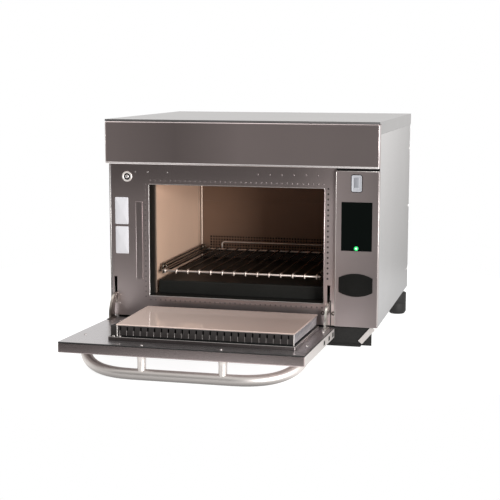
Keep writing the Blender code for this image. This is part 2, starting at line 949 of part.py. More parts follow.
def make_convection_fan():
    """The centrifugal wheel: a disc with flat blades round its rim, and a hub on the motor's shaft."""
    axis = empty("convection_fan_axis", (opening_x, fan_disc_y, fan_z))
    bore = shaft_radius + shaft_gap
    profile = [
        (fan_hub_radius, 0),
        (fan_hub_radius, -fan_hub_length + fan_disc),
        (bore, -fan_hub_length + fan_disc),
        (bore, fan_disc),
        (fan_radius, fan_disc),
        (fan_radius, 0),
    ]
    wheel = turned("convection_fan", profile[::-1], (0, 0, 0), (0, 1, 0), fan_steps)
    blades = []
    for number in range(fan_blade_count):
        angle = 2 * math.pi * number / fan_blade_count
        low = (fan_blade_root, -fan_blade_depth, -fan_blade_sheet / 2)
        high = (fan_radius - fan_blade_sheet, fan_disc / 2, fan_blade_sheet / 2)
        blade = block("blade", low, high)
        blade.matrix_basis = Matrix.Rotation(angle, 4, "Y") @ Matrix.Translation(blade.location)
        blades.append(blade)
    unite(wheel, combined("fan_blades", blades), axis)
    show(wheel, "bright_steel", axis)


def make_convection_motor():
    """The motor behind the plenum, with its mounting flange and the shaft that carries the fan."""
    flange_y = plenum_end_y + touch_gap
    tip_y = fan_disc_y - fan_hub_length
    profile = [
        (0, motor_flange_thickness + motor_length),
        (motor_radius, motor_flange_thickness + motor_length),
        (motor_radius, motor_flange_thickness),
        (motor_flange_radius, motor_flange_thickness),
        (motor_flange_radius, 0),
        (shaft_radius, 0),
        (shaft_radius, tip_y - flange_y),
        (0, tip_y - flange_y),
    ]
    motor = turned("convection_motor", profile, (opening_x, flange_y, fan_z), (0, 1, 0), motor_steps)
    show(motor, "core_steel")


def rack_z():
    """The middle line of the rack's cross bars."""
    return opening_z + rack_bar_rise


def rack_ends():
    """The middle lines of the rack's front and rear bars."""
    return cavity_y + rack_front_gap, cavity_end_y - rack_rear_gap


def rail_end(name, wall_x, side, y):
    """One end of a rail: a stud out of the wall, a post up to the guide wires and a small ring."""
    low_z = rack_z() - rack_bar_radius - touch_gap - rail_wire_radius
    guide_x = wall_x + side * rail_guide_inset
    top_z = rack_z() + rail_guide_rises[-1]
    stud_ends = [(wall_x + side * touch_gap, y, low_z), (wall_x + side * rail_inset, y, low_z)]
    stud = as_mesh(tube(name, stud_ends, rail_stud_radius, wire_resolution))
    post = as_mesh(tube(name, [(guide_x, y, low_z), (guide_x, y, top_z)], rail_post_radius, wire_resolution))
    ring = []
    for step in range(rail_ring_steps):
        angle = 2 * math.pi * step / rail_ring_steps
        ring.append((wall_x + side * rail_ring_inset + rail_ring_radius * math.cos(angle), y,
                     rack_z() + rail_ring_rise + rail_ring_radius * math.sin(angle)))
    loop = as_mesh(tube(name, ring, rail_ring_wire, 1, closed=True))
    return [stud, post, loop]


def make_rack_rails():
    """The wire rails on the side walls: one wire carries the rack, two above it guide it."""
    front, rear = cavity_y + rail_front_gap, cavity_end_y - rail_rear_gap
    low_z = rack_z() - rack_bar_radius - touch_gap - rail_wire_radius
    for name, wall_x, side in (("rack_rail_left", opening_left, 1), ("rack_rail_right", opening_right, -1)):
        x = wall_x + side * rail_inset
        rail = as_mesh(tube(name, [(x, front, low_z), (x, rear, low_z)], rail_wire_radius, wire_resolution))
        for number, y in enumerate((front + rail_stud_setback, rear - rail_stud_setback / 2)):
            for part, shape in enumerate(rail_end(name + "_end", wall_x, side, y)):
                unite(rail, combined("%s_end_%d_%d" % (name, number, part), [shape]))
        guide_x = wall_x + side * rail_guide_inset
        for number, rise in enumerate(rail_guide_rises):
            ends = [(guide_x, front + rail_stud_setback - rail_wire_radius * 2, rack_z() + rise),
                    (guide_x, rear, rack_z() + rise)]
            wire = as_mesh(tube(name + "_guide", ends, rail_guide_radius, wire_resolution))
            unite(rail, combined("%s_guide_%d" % (name, number), [wire]))
        rail.data.shade_smooth()
        show(rail, "core_steel")


def make_base_tray():
    """The raised enamelled base: a tray lying open side down on the cavity's floor."""
    low = (opening_left + tray_side_gap, cavity_y + tray_end_gap, opening_z)
    high = (opening_right - tray_side_gap, cavity_end_y - tray_end_gap, opening_z + tray_height)
    base = tray("base_tray", low, high, [(0, 0, -1)], cavity_sheet, tray_edge_radius)
    show(base, "black_enamel")


def make_rack():
    """The wire rack: fourteen long wires welded across two bars, their tips bent down in front."""
    front, rear = rack_ends()
    depth = rear - front
    place = (opening_x, front, rack_z())
    half = rack_width / 2
    overlap = rack_wire_radius / 4
    rise = rack_bar_radius + rack_wire_radius - overlap
    rack = as_mesh(tube("oven_rack", [(-half, 0, 0), (half, 0, 0)], rack_bar_radius, wire_resolution))
    rack.location = place
    rear_bar = as_mesh(tube("bar", [(-half, depth, 0), (half, depth, 0)], rack_bar_radius, wire_resolution))
    unite_at(rack, combined("rack_rear_bar", [rear_bar]), place)
    lines = []
    for number in range(rack_wire_count):
        x = (number - (rack_wire_count - 1) / 2) * rack_wire_pitch
        front_tip = -rack_bar_radius - rack_wire_radius + overlap
        points = [
            (x, depth + rack_bar_radius, rise),
            (x, front_tip, rise),
            (x, front_tip, rise - rack_wire_radius - rack_tip_drop),
        ]
        lines.append(as_mesh(tube("wire", points, rack_wire_radius, wire_resolution)))
    unite_at(rack, combined("rack_wires", lines), place)
    rack.data.shade_smooth()
    show(rack, "bright_steel")
    stop = as_mesh(tube("rack_back_stop", back_stop_points(), rack_wire_radius, wire_resolution))
    stop.location = (opening_x, rear, rack_z())
    stop.data.shade_smooth()
    show(stop, "bright_steel")


def back_stop_points():
    """The raised wire at the back of the rack: a low arch with rounded corners, standing on the rear bar."""
    half, foot = stop_width / 2, rack_bar_radius + touch_gap
    points = [(-half, 0, foot)]
    for side in (-1, 1):
        corner = []
        for step in range(stop_corner_steps + 1):
            angle = math.pi / 2 * step / stop_corner_steps
            x = side * (half - stop_corner_radius + stop_corner_radius * math.cos(angle))
            corner.append((x, 0, stop_height - stop_corner_radius + stop_corner_radius * math.sin(angle)))
        points += corner if side < 0 else corner[::-1]
    return points + [(half, 0, foot)]


def unite_at(piece, other, place):
    """Unite a shape that was made about the piece's own origin."""
    other.location = place
    unite(piece, other)


def make_waveguide():
    """The duct on the cavity's ceiling that the two magnetrons feed."""
    z = opening_top + touch_gap * 2 + cavity_sheet
    middle_y = (cavity_y + cavity_end_y) / 2
    low = (opening_x - guide_width / 2, middle_y - guide_depth / 2, z)
    high = (opening_x + guide_width / 2, middle_y + guide_depth / 2, z + guide_height)
    guide = tray("waveguide", low, high, [(0, 0, -1)], guide_sheet)
    show(guide, "aluminium")


def make_magnetrons():
    """Two magnetrons: a folded yoke, a copper core and its stack of cooling fins."""
    z = opening_top + touch_gap * 3 + cavity_sheet + guide_height
    middle_y = (cavity_y + cavity_end_y) / 2
    for name, side in (("magnetron_left", -1), ("magnetron_right", 1)):
        x = opening_x + side * magnetron_spacing / 2
        half_x, half_y = magnetron_width / 2, magnetron_depth / 2
        line = [
            (x - half_x, z + magnetron_height),
            (x - half_x, z),
            (x + half_x, z),
            (x + half_x, z + magnetron_height),
            (x - half_x + magnetron_yoke * 2, z + magnetron_height),
        ]
        yoke = folded_sheet(name, line, 1, middle_y - half_y, middle_y + half_y, magnetron_yoke)
        place = (x, middle_y, z + magnetron_height / 2)
        length = magnetron_height - magnetron_yoke
        core = rod(name + "_core", magnetron_core_radius, length, place, (0, 0, 1), magnetron_steps)
        unite(yoke, core)
        step = (magnetron_height - magnetron_yoke * 2) / (magnetron_fin_count + 1)
        fins = []
        for number in range(magnetron_fin_count):
            level = z + magnetron_yoke + step * (number + 1)
            fins.append(((x - half_x + magnetron_yoke / 2, middle_y - half_y * magnetron_fin_share, level),
                         (x + half_x - magnetron_yoke / 2, middle_y + half_y * magnetron_fin_share,
                          level + magnetron_fin_sheet)))
        unite(yoke, blocks(name + "_fins", fins))
        show(yoke, "aluminium")


def make_transformers():
    """Two high-voltage transformers on the base pan: a laminated core with its winding bulging out."""
    floor_z = base_z + sheet + touch_gap
    for number, name in enumerate(("transformer_rear", "transformer_front")):
        y = transformer_y - number * transformer_pitch
        half_x, half_y = transformer_width / 2, transformer_depth / 2
        core = block(name, (electrics_x - half_x, y - half_y, floor_z),
                     (electrics_x + half_x, y + half_y, floor_z + transformer_height))
        middle_z = floor_z + transformer_height / 2
        coil_low = (electrics_x - half_x * winding_width_share, y - half_y - transformer_coil_bulge,
                    middle_z - transformer_coil_height / 2)
        coil_high = (electrics_x + half_x * winding_width_share, y + half_y + transformer_coil_bulge,
                     middle_z + transformer_coil_height / 2)
        coil = block(name + "_winding", coil_low, coil_high)
        bevel(coil, transformer_coil_bulge / 2)
        unite(core, coil)
        show(core, "core_steel")


def make_capacitor():
    """The high-voltage capacitor: an upright can with rounded sides and two terminals."""
    z = base_z + sheet + touch_gap
    y = transformer_y - transformer_pitch - capacitor_spacing
    can = block("hv_capacitor", (electrics_x - capacitor_width / 2, y - capacitor_depth / 2, z),
                (electrics_x + capacitor_width / 2, y + capacitor_depth / 2, z + capacitor_height))
    bevel(can, capacitor_edge_radius)
    top = z + capacitor_height
    tabs = []
    for side in (-1, 1):
        x = electrics_x + side * capacitor_width / 4
        tabs.append(((x - terminal_size / 2, y - terminal_size / 4, top - terminal_size),
                     (x + terminal_size / 2, y + terminal_size / 4, top + terminal_height)))
    unite(can, blocks("capacitor_tabs", tabs))
    show(can, "aluminium")


def make_control_board():
    """The control board behind the front frame, on four stand-offs, with a relay and a transformer."""
    front_y = frame_back_y + touch_gap + board_standoff
    x, z = electrics_x, base_z + board_foot_rise
    low = (x - board_width / 2, front_y, z)
    high = (x + board_width / 2, front_y + board_sheet, z + board_height)
    board = block("control_board", low, high)
    posts = []
    inset = board_standoff_radius * 2
    length = board_standoff + board_sheet / 2
    middle_y = front_y + board_sheet / 2 - length / 2
    for post_x in (low[0] + inset, high[0] - inset):
        for post_z in (low[2] + inset, high[2] - inset):
            place = (post_x, middle_y, post_z)
            posts.append(rod("standoff", board_standoff_radius, length, place, (0, 1, 0), standoff_sides))
    unite(board, combined("board_standoffs", posts))
    back = front_y + board_sheet
    parts = []
    for left_share, right_share, low_share, high_share in board_part_shares:
        low = (x + board_width * left_share, back - board_sheet / 2, z + board_height * low_share)
        high = (x + board_width * right_share, back + board_part_height, z + board_height * high_share)
        parts.append((low, high))
    unite(board, blocks("board_parts", parts))
    show(board, "board_green")


def make_cooling_fan():
    """The cooling fan's square shroud with its struts and shaft, and its seven-bladed wheel."""
    half = shroud_size / 2
    rear_y = shroud_y + shroud_depth
    shroud = block("cooling_fan_shroud", (shroud_x - half, shroud_y, shroud_z - half),
                   (shroud_x + half, rear_y, shroud_z + half))
    bevel(shroud, shroud_corner_radius / 2)
    middle = (shroud_x, (shroud_y + rear_y) / 2, shroud_z)
    length = shroud_depth + cut_overrun * 2
    carve(shroud, rod("shroud_bore", shroud_bore_radius, length, middle, (0, 1, 0), fan_steps))
    reach = shroud_bore_radius + cut_overrun
    strut_y = rear_y - strut_depth
    struts = block("shroud_strut", (shroud_x - reach, strut_y, shroud_z - strut_width / 2),
                   (shroud_x + reach, rear_y - touch_gap, shroud_z + strut_width / 2))
    unite(shroud, struts)
    shaft_low = shroud_y + touch_gap * 4
    shaft_place = (shroud_x, (shaft_low + rear_y - strut_depth / 2) / 2, shroud_z)
    shaft_length = rear_y - strut_depth / 2 - shaft_low
    unite(shroud, rod("fan_shaft", cooler_shaft_radius, shaft_length, shaft_place, (0, 1, 0), switch_steps))
    show(shroud, "black_plastic")
    make_cooling_wheel(strut_y)


def make_cooling_wheel(strut_y):
    """The axial wheel: a ring hub on the shaft with pitched blades."""
    middle_y = strut_y - cut_overrun - cooler_hub_length / 2
    axis = empty("cooling_fan_axis", (shroud_x, middle_y, shroud_z))
    bore = cooler_shaft_radius + shaft_gap
    half = cooler_hub_length / 2
    profile = [(cooler_hub_radius, half), (cooler_hub_radius, -half), (bore, -half), (bore, half)]
    wheel = turned("cooling_fan", profile, (0, 0, 0), (0, 1, 0), fan_steps)
    blades = []
    for number in range(cooler_blade_count):
        angle = 2 * math.pi * number / cooler_blade_count
        root = cooler_hub_radius - cooler_blade_sheet
        low = (root, -cooler_blade_chord / 2, -cooler_blade_sheet / 2)
        high = (cooler_radius, cooler_blade_chord / 2, cooler_blade_sheet / 2)
        blade = block("blade", low, high)
        pitch = Matrix.Rotation(cooler_blade_pitch, 4, "X")
        blade.matrix_basis = (Matrix.Rotation(angle, 4, "Y") @ pitch
                              @ Matrix.Translation(blade.location))
        blades.append(blade)
    unite(wheel, combined("cooling_blades", blades), axis)
    show(wheel, "black_plastic", axis)


def make_gland():
    """The cord gland at the back: a flanged, bored grommet through the back panel."""
    seat_y = back_y + touch_gap
    profile = [
        (gland_cap_radius, gland_reach - touch_gap),
        (gland_radius, (gland_reach - touch_gap) / 2),
        (gland_radius, 0),
        (gland_cap_radius - touch_gap, 0),
        (gland_cap_radius - touch_gap, -gland_depth),
        (gland_bore, -gland_depth),
        (gland_bore, gland_reach - touch_gap),
    ]
    place = (electrics_x, seat_y, base_z + gland_rise)
    gland = turned("cord_gland", profile, place, (0, 1, 0), switch_steps)
    show(gland, "black_plastic")


def make_door_switch():
    """The door switch: a bushing in the frame, a switch box behind it and a plunger that slides in."""
    x, z = -half_width + switch_side_margin, hood_z - switch_drop
    profile = [
        (bushing_barrel_radius, -touch_gap + bushing_barrel_depth),
        (bushing_barrel_radius, -touch_gap),
        (bushing_radius, -touch_gap),
        (bushing_radius, -bushing_flange),
        (bushing_bore, -bushing_flange),
        (bushing_bore, bushing_barrel_depth - touch_gap),
    ]
    bushing = turned("switch_bushing", profile, (x, frame_y, z), (0, 1, 0), switch_steps)
    box_y = frame_y + bushing_barrel_depth - touch_gap * 2
    half = switch_box_size / 2
    low = (x - half, box_y, z - half)
    high = (x + half, box_y + switch_box_depth, z + half)
    body = block("switch_box", low, high)
    hole = (x, box_y + switch_box_depth / 2, z)
    stem_bore = plunger_stem_radius + touch_gap
    unite(bushing, body)
    length = switch_box_depth + cut_overrun * 2
    carve(bushing, rod("stem_bore", stem_bore, length, hole, (0, 1, 0), switch_steps))
    show(bushing, "bright_steel")
    shoulder = bushing_barrel_depth - touch_gap * 3 - plunger_travel
    stem = [
        (0, plunger_tail),
        (plunger_stem_radius, plunger_tail),
        (plunger_stem_radius, shoulder),
        (plunger_radius, shoulder),
        (plunger_radius, -plunger_proud + plunger_nose_height),
        (plunger_stem_radius, -plunger_proud),
        (0, -plunger_proud),
    ]
    show(turned("switch_plunger", stem, (x, frame_y, z), (0, 1, 0), switch_steps), "bright_steel")


def make_control_panel():
    """The control column: a folded box with windows for the display, the badge and the port."""
    low = (panel_left, panel_y, base_z + panel_foot_gap)
    high = (half_width, frame_y - touch_gap, panel_top)
    panel = tray("control_panel", low, high, [(0, 1, 0)], sheet, panel_edge_radius)
    y_low, y_high = panel_y - cut_overrun, panel_y + sheet + cut_overrun
    display = display_box()
    window = ((display[0] - touch_gap, y_low, display[2] - touch_gap),
              (display[1] + touch_gap, y_high, display[3] + touch_gap))
    port = port_box()
    port_hole = ((port[0], y_low, port[2]), (port[1], y_high, port[3]))
    carve(panel, blocks("panel_windows", [window, port_hole]))
    show(panel, "brushed_steel")


def display_box():
    """Left, right, bottom and top of the display."""
    right = half_width - display_right_margin
    top = panel_top - display_drop
    return right - display_width, right, top - display_height, top


def port_box():
    """Left, right, bottom and top of the port's flap, with its clearance."""
    right = half_width - port_right_margin
    top = panel_top - port_drop
    return right - port_width - touch_gap, right + touch_gap, top - port_height - touch_gap, top + touch_gap


def make_display():
    """The touch display: one glass plate set in its window, on a carrier that reaches the frame."""
    left, right, bottom, top = display_box()
    front = panel_y - display_proud
    glass = block("display_glass", (left, front, bottom), (right, front + display_thickness, top))
    inset = display_thickness * 2
    carrier = block("display_carrier", (left + inset, front + display_thickness / 2, bottom + inset),
                    (right - inset, frame_y - touch_gap, top - inset))
    unite(glass, carrier)
    show(glass, "display_glass")


def badge_outline():
    """A plate with straight sides and bowed ends, as (across, up) points about its middle."""
    half_w, half_h, half_side = badge_width / 2, badge_height / 2, badge_side_height / 2
    bow = half_h - half_side
    radius = (half_w ** 2 + bow ** 2) / (2 * bow)
    reach = math.asin(half_w / radius)
    points = []
    for end in (1, -1):
        for step in range(badge_arc_steps + 1):
            angle = reach * (1 - 2 * step / badge_arc_steps)
            x = end * radius * math.sin(angle)
            points.append((x, end * (half_h - radius + radius * math.cos(angle))))
    return points


def make_badge():
    """The bare black plate low on the control panel."""
    x = half_width - badge_right_margin - badge_width / 2
    z = panel_top - badge_drop
    plate = flat_outline("badge_plate", badge_outline(), badge_thickness)
    plate.location = (x, panel_y - touch_gap - badge_thickness / 2, z)
    plate.rotation_euler = (math.radians(90), 0, 0)
    show(plate, "black_plastic")


def flap_outline():
    """A rectangle with rounded corners, hanging down from the flap's pin."""
    half, low = port_width / 2, -port_height + flap_pin_radius
    high = flap_pin_radius
    centres = [(half, high, 0), (-half, high, 1), (-half, low, 2), (half, low, 3)]
    points = []
    for x, z, quarter in centres:
        cx = x - math.copysign(flap_corner_radius, x)
        cz = z - flap_corner_radius if quarter < 2 else z + flap_corner_radius
        for step in range(flap_corner_steps + 1):
            angle = math.pi / 2 * (quarter + step / flap_corner_steps)
            across, up = flap_corner_radius * math.cos(angle), flap_corner_radius * math.sin(angle)
            points.append((cx + across, cz + up))
    return points


def make_port():
    """The service port: a socket behind a flap that swings up about its top edge."""
    left, right, bottom, top = port_box()
    x = (left + right) / 2
    pin_z = top - touch_gap - flap_pin_radius
    pin_y = panel_y + flap_thickness / 2 - flap_thickness
    axis = empty("port_flap_axis", (x, pin_y, pin_z))
    flap = flat_outline("port_cover", flap_outline(), flap_thickness)
    flap.rotation_euler = (math.radians(90), 0, 0)
    show(flap, "grey_plastic", axis)
    socket_z = top - socket_drop
    low = (x - socket_width / 2, panel_y + sheet, socket_z - socket_height / 2)
    high = (x + socket_width / 2, frame_y - touch_gap, socket_z + socket_height / 2)
    socket = tray("port_socket", low, high, [(0, -1, 0)], socket_wall)
    show(socket, "bright_steel")


def make_air_filter():
    """The removable air filter under the front: a slotted black screen between slanted steel ends."""
    top = base_z - touch_gap
    bottom = top - filter_height
    y = hood_y + filter_setback
    half_top, half_bottom = filter_top_width / 2, filter_top_width / 2 - filter_slope
    outline = [(half_top, top), (-half_top, top), (-half_bottom, bottom), (half_bottom, bottom)]
    screen = flat_outline("air_filter", outline, filter_sheet)
    screen.location = (0, y + filter_sheet / 2, 0)
    screen.rotation_euler = (math.radians(90), 0, 0)
    screen = as_mesh(screen)
    lip_low = (-half_bottom, y - filter_lip_depth, bottom)
    lip_high = (half_bottom, y + filter_sheet / 2, bottom + filter_lip_height)
    unite(screen, block("filter_lip", lip_low, lip_high))
    count = round((half_bottom - filter_slot_inset) * 2 / filter_slot_pitch)
    slots = []
    slot_low, slot_high = bottom + filter_lip_height + filter_slot_margin, top - filter_slot_margin
    for number in range(count):
        x = (number - (count - 1) / 2) * filter_slot_pitch
        slots.append(((x - filter_slot_width / 2, y - cut_overrun, slot_low),
                      (x + filter_slot_width / 2, y + filter_sheet + cut_overrun, slot_high)))
    carve(screen, blocks("filter_slots", slots))
    show(screen, "black_plastic")
    for name, side in (("filter_end_left", -1), ("filter_end_right", 1)):
        width = filter_strip_width
        line = [
            (side * half_top, top),
            (side * (half_top - width), top),
            (side * (half_bottom - width), bottom),
            (side * half_bottom, bottom),
        ]
        strip = flat_outline(name, line if side > 0 else line[::-1], filter_strip_sheet)
        strip.location = (0, y - touch_gap - filter_strip_sheet / 2, 0)
        strip.rotation_euler = (math.radians(90), 0, 0)
        strip = as_mesh(strip)
        lift = bottom + filter_lip_height + touch_gap
        cutter = block(name + "_foot_cut", (-body_width, y - body_width, -body_width), (body_width, y, lift))
        carve(strip, cutter)
        show(strip, "bright_steel")


def make_hinge_housings():
    """The channels behind the frame that hold the hinge pins."""
    for name, x in zip(("hinge_housing_left", "hinge_housing_right"), arm_xs):
        half = arm_thickness / 2 + housing_side_gap + housing_sheet
        rear = hinge_y + arm_door_outer_radius + housing_rear_gap + housing_sheet
        line = [
            (x - half, frame_back_y + touch_gap),
            (x - half, rear),
            (x + half, rear),
            (x + half, frame_back_y + touch_gap),
        ]
        low = base_z + sheet + touch_gap
        high = hinge_z + arm_door_outer_radius + housing_headroom
        housing = folded_sheet(name, line[::-1], 2, low, high, housing_sheet)
        length, place = 2 * half - housing_sheet, (x, hinge_y, hinge_z)
        unite(housing, rod(name + "_pin", hinge_pin_radius, length, place, (1, 0, 0), arm_steps))
        show(housing, "plated_steel")


def arm_outline():
    """The curved arm, shut, about the hinge axis: a band that widens towards its end on the door."""
    reach = door_face_offset - touch_gap - arm_foot_thickness / 2
    points = []
    for tail_radius, door_radius, forward in (
            (arm_tail_outer_radius, arm_door_outer_radius, True),
            (arm_tail_inner_radius, arm_door_inner_radius, False)):
        end = math.acos(-reach / door_radius)
        arc = []
        for step in range(arm_steps + 1):
            angle = arm_tail_angle + (end - arm_tail_angle) * step / arm_steps
            radius = tail_radius + (door_radius - tail_radius) * step / arm_steps
            arc.append((radius * math.cos(angle), radius * math.sin(angle)))
        points += arc if forward else arc[::-1]
    return points


def lay_on_side(shape, x):
    """Turn a flat shape whose outline is (back, up) so that its thickness runs along X, at x."""
    shape.matrix_basis = Matrix.Translation((x, 0, 0)) @ Matrix(
        ((0, 0, 1, 0), (1, 0, 0, 0), (0, 1, 0, 0), (0, 0, 0, 1)))
    return shape


def make_hinge_arms(axis):
    """The two hinge arms on the door: an arc through the frame's slot, a spoke, a bored boss and a foot."""
    for name, x in zip(("hinge_arm_left", "hinge_arm_right"), arm_xs):
        arm = as_mesh(lay_on_side(flat_outline(name, arm_outline(), arm_thickness), x))
        half = arm_thickness / 2
        spoke_reach = (arm_tail_inner_radius + arm_tail_outer_radius) / 2
        spoke_low, spoke_high = (-half, 0, -arm_spoke_width / 2), (half, spoke_reach, arm_spoke_width / 2)
        spoke = block(name + "_spoke", spoke_low, spoke_high)
        angle = arm_tail_angle + math.asin(arm_spoke_width / 2 / spoke_reach)
        spoke.matrix_basis = (Matrix.Translation((x, 0, 0)) @ Matrix.Rotation(angle, 4, "X")
                              @ Matrix.Translation(spoke.location))
        unite(arm, spoke, axis)
        boss = rod(name + "_boss", arm_boss_radius, arm_thickness, (x, 0, 0), (1, 0, 0), fan_steps)
        unite(arm, boss, axis)
        foot_low = (x - arm_foot_width / 2, door_inner + touch_gap,
                    arm_door_inner_radius - arm_foot_width / 2)
        foot_high = (x + arm_foot_width / 2, door_inner + touch_gap + arm_foot_thickness,
                     arm_door_outer_radius + arm_foot_width / 2)
        unite(arm, block(name + "_foot", foot_low, foot_high), axis)
        bore = hinge_pin_radius + hinge_bore_gap
        hole = rod(name + "_bore", bore, arm_thickness + cut_overrun * 2, (x, 0, 0), (1, 0, 0), arm_steps)
        carve(arm, hole, axis)
        show(arm, "plated_steel", axis)


def make_door_shell(axis):
    """The door's outer skin, the seal round its rim and the inner panel that closes it."""
    skin_back = door_inner - door_sheet - seal_thickness - touch_gap * 2
    skin = tray("door_outer_skin", (door_left, door_front, door_heel), (door_right, skin_back, door_top),
                [(0, 1, 0)], door_sheet, door_edge_radius)
    middle_y = (door_front + skin_back) / 2
    vents = []
    for number in range(vent_count):
        low_z = vent_first + number * vent_pitch
        for x in (door_left, door_right):
            vents.append(((x - cut_overrun, middle_y - vent_width / 2, low_z),
                          (x + cut_overrun, middle_y + vent_width / 2, low_z + vent_length)))
    carve(skin, blocks("door_vents", vents), axis)
    show(skin, "brushed_steel", axis)

    seal_low = skin_back + touch_gap
    outer = ((door_left + seal_inset, seal_low, door_heel + seal_inset),
             (door_right - seal_inset, seal_low + seal_thickness, door_top - seal_inset))
    seal = block("door_seal", *outer)
    inner_low = [a + seal_width for a in outer[0]]
    inner_high = [b - seal_width for b in outer[1]]
    inner_low[1], inner_high[1] = seal_low - cut_overrun, seal_low + seal_thickness + cut_overrun
    carve(seal, block("seal_middle", inner_low, inner_high), axis)
    show(seal, "black_rubber", axis)

    panel_low = (door_left + panel_inset, door_inner - door_sheet, door_heel + panel_inset)
    panel_high = (door_right - panel_inset, door_inner, door_top - panel_inset)
    panel = block("door_inner_panel", panel_low, panel_high)
    show(panel, "brushed_steel", axis)


def choke_box():
    """Left, right, bottom and top of the choke, shut, inside the cavity's mouth."""
    left, right = opening_left + choke_side_gap, opening_right - choke_side_gap
    bottom = opening_z + choke_end_gap - hinge_z
    return left, right, bottom, opening_top - choke_end_gap - hinge_z


def make_choke(axis):
    """The choke: a thick base plate, a fence of slots all round it and a cover over the fence."""
    left, right, bottom, top = choke_box()
    base_low = door_inner + touch_gap
    base_high = base_low + choke_base_thickness
    grow = choke_base_growth
    base = block("choke_base_plate", (left - grow, base_low, bottom - grow),
                 (right + grow, base_high, top + grow))
    show(base, "brushed_steel", axis)

    cover_high = door_inner + choke_reach
    cover_low = cover_high - choke_cover_thickness
    cover = block("choke_cover", (left, cover_low, bottom), (right, cover_high, top))
    bevel(cover, choke_cover_bevel, 1)
    show(cover, "choke_polymer", axis)

    fence_low, fence_high = base_high + touch_gap, cover_low - touch_gap
    fence = tray("choke_fence", (left + fence_inset, fence_low, bottom + fence_inset),
                 (right - fence_inset, fence_high, top - fence_inset), [(0, 1, 0), (0, -1, 0)], fence_sheet)
    slots = fence_slots(left, right, bottom, top, fence_low + fence_slot_foot, fence_high - fence_slot_head)
    carve(fence, blocks("choke_slots", slots), axis)
    show(fence, "core_steel", axis)


def fence_slots(left, right, bottom, top, low_y, high_y):
    """Corners of the slots in the four walls of the fence."""
    half = fence_slot_width / 2
    slots = []
    for low, high, across in ((left, right, True), (bottom, top, False)):
        span = high - low - fence_corner_margin * 2
        count = int(span / fence_slot_pitch)
        for number in range(count):
            middle = (low + high) / 2 + (number - (count - 1) / 2) * fence_slot_pitch
            for edge in ((bottom, top) if across else (left, right)):
                inward = fence_inset + fence_sheet + cut_overrun
                near, far = (edge, edge + inward) if edge in (bottom, left) else (edge - inward, edge)
                if across:
                    slots.append(((middle - half, low_y, near), (middle + half, high_y, far)))
                else:
                    slots.append(((near, low_y, middle - half), (far, high_y, middle + half)))
    return slots


def handle_points():
    """The handle's middle line: a bar whose ends sweep back and down to the door's face."""
    x = door_x + handle_centre_offset
    bar_z, end_z = door_top - handle_drop, door_top - handle_end_drop
    bar_y, end_y = door_front - handle_offset, door_front - touch_gap
    half_end, half_bar = handle_end_spread / 2, handle_bar_spread / 2
    left = []
    for step in range(handle_steps + 1):
        angle = math.pi / 2 * step / handle_steps
        back = 1 - math.cos(angle)
        left.append((x - half_bar - (half_end - half_bar) * math.cos(angle) if step else x - half_end,
                     end_y + (bar_y - end_y) * math.sin(angle),
                     end_z + (bar_z - end_z) * (math.sin(angle) + back) / 2))
    right = [(2 * x - px, py, pz) for px, py, pz in left[::-1]]
    return left + right


def make_handle(axis):
    """The tube handle, and the two round posts that hold its middle off the door."""
    handle = as_mesh(tube("door_handle", handle_points(), handle_radius, handle_resolution))
    face = door_front - touch_gap
    behind = block("handle_end_cut", (-body_width, face, -body_width), (body_width, body_width, body_width))
    carve(handle, behind, axis)
    handle.data.shade_smooth()
    show(handle, "polished_tube", axis)
    x = door_x + post_centre_offset
    bar_z = door_top - handle_drop
    bar_y = door_front - handle_offset
    for name, side in (("handle_post_left", -1), ("handle_post_right", 1)):
        post_x = x + side * post_spacing / 2
        middle = (post_x, (bar_y + face) / 2, bar_z)
        post = rod(name, post_radius, face - bar_y, middle, (0, 1, 0), post_steps)
        bore, place = handle_radius + touch_gap, (post_x, bar_y, bar_z)
        carve(post, rod(name + "_seat", bore, body_width, place, (1, 0, 0), fan_steps), axis)
        show(post, "polished_tube", axis)


def make_door():
    """Everything that swings with the door, hung on the hinge axis and opened."""
    axis = empty("door_hinge_axis", (0, hinge_y, hinge_z), door_swing)
    make_door_shell(axis)
    make_choke(axis)
    make_handle(axis)
    make_hinge_arms(axis)


make_base_pan()
make_feet()
make_side_panels()
make_back_panel()
make_top_cover()
make_hood()
make_front_frame()
make_collar()
make_cavity_walls()
make_back_wall()
make_cradle()
make_plenum()
make_heater()
make_convection_fan()
make_convection_motor()
make_rack_rails()
make_base_tray()
make_rack()
make_waveguide()
make_magnetrons()
make_transformers()
make_capacitor()
make_control_board()
make_cooling_fan()
make_gland()
make_door_switch()
make_control_panel()
make_display()
make_badge()
make_port()
make_air_filter()
make_hinge_housings()
make_door()
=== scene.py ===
# %% [markdown]
# # Dressing a countertop speed oven
# The oven stands with its drop-down door open. Its frame comes from the CAD model: its boxes and
# joints place the pieces made here, and the photograph says where the small details sit on them.
# This lesson sets the camera and the light, gives each sheet of metal its finish, and then adds
# what a bare model lacks: smooth wire and tube, a perforated wall, hems, welds and screws, a lit
# key and blank labels.

# %% load the frame
import json
import math

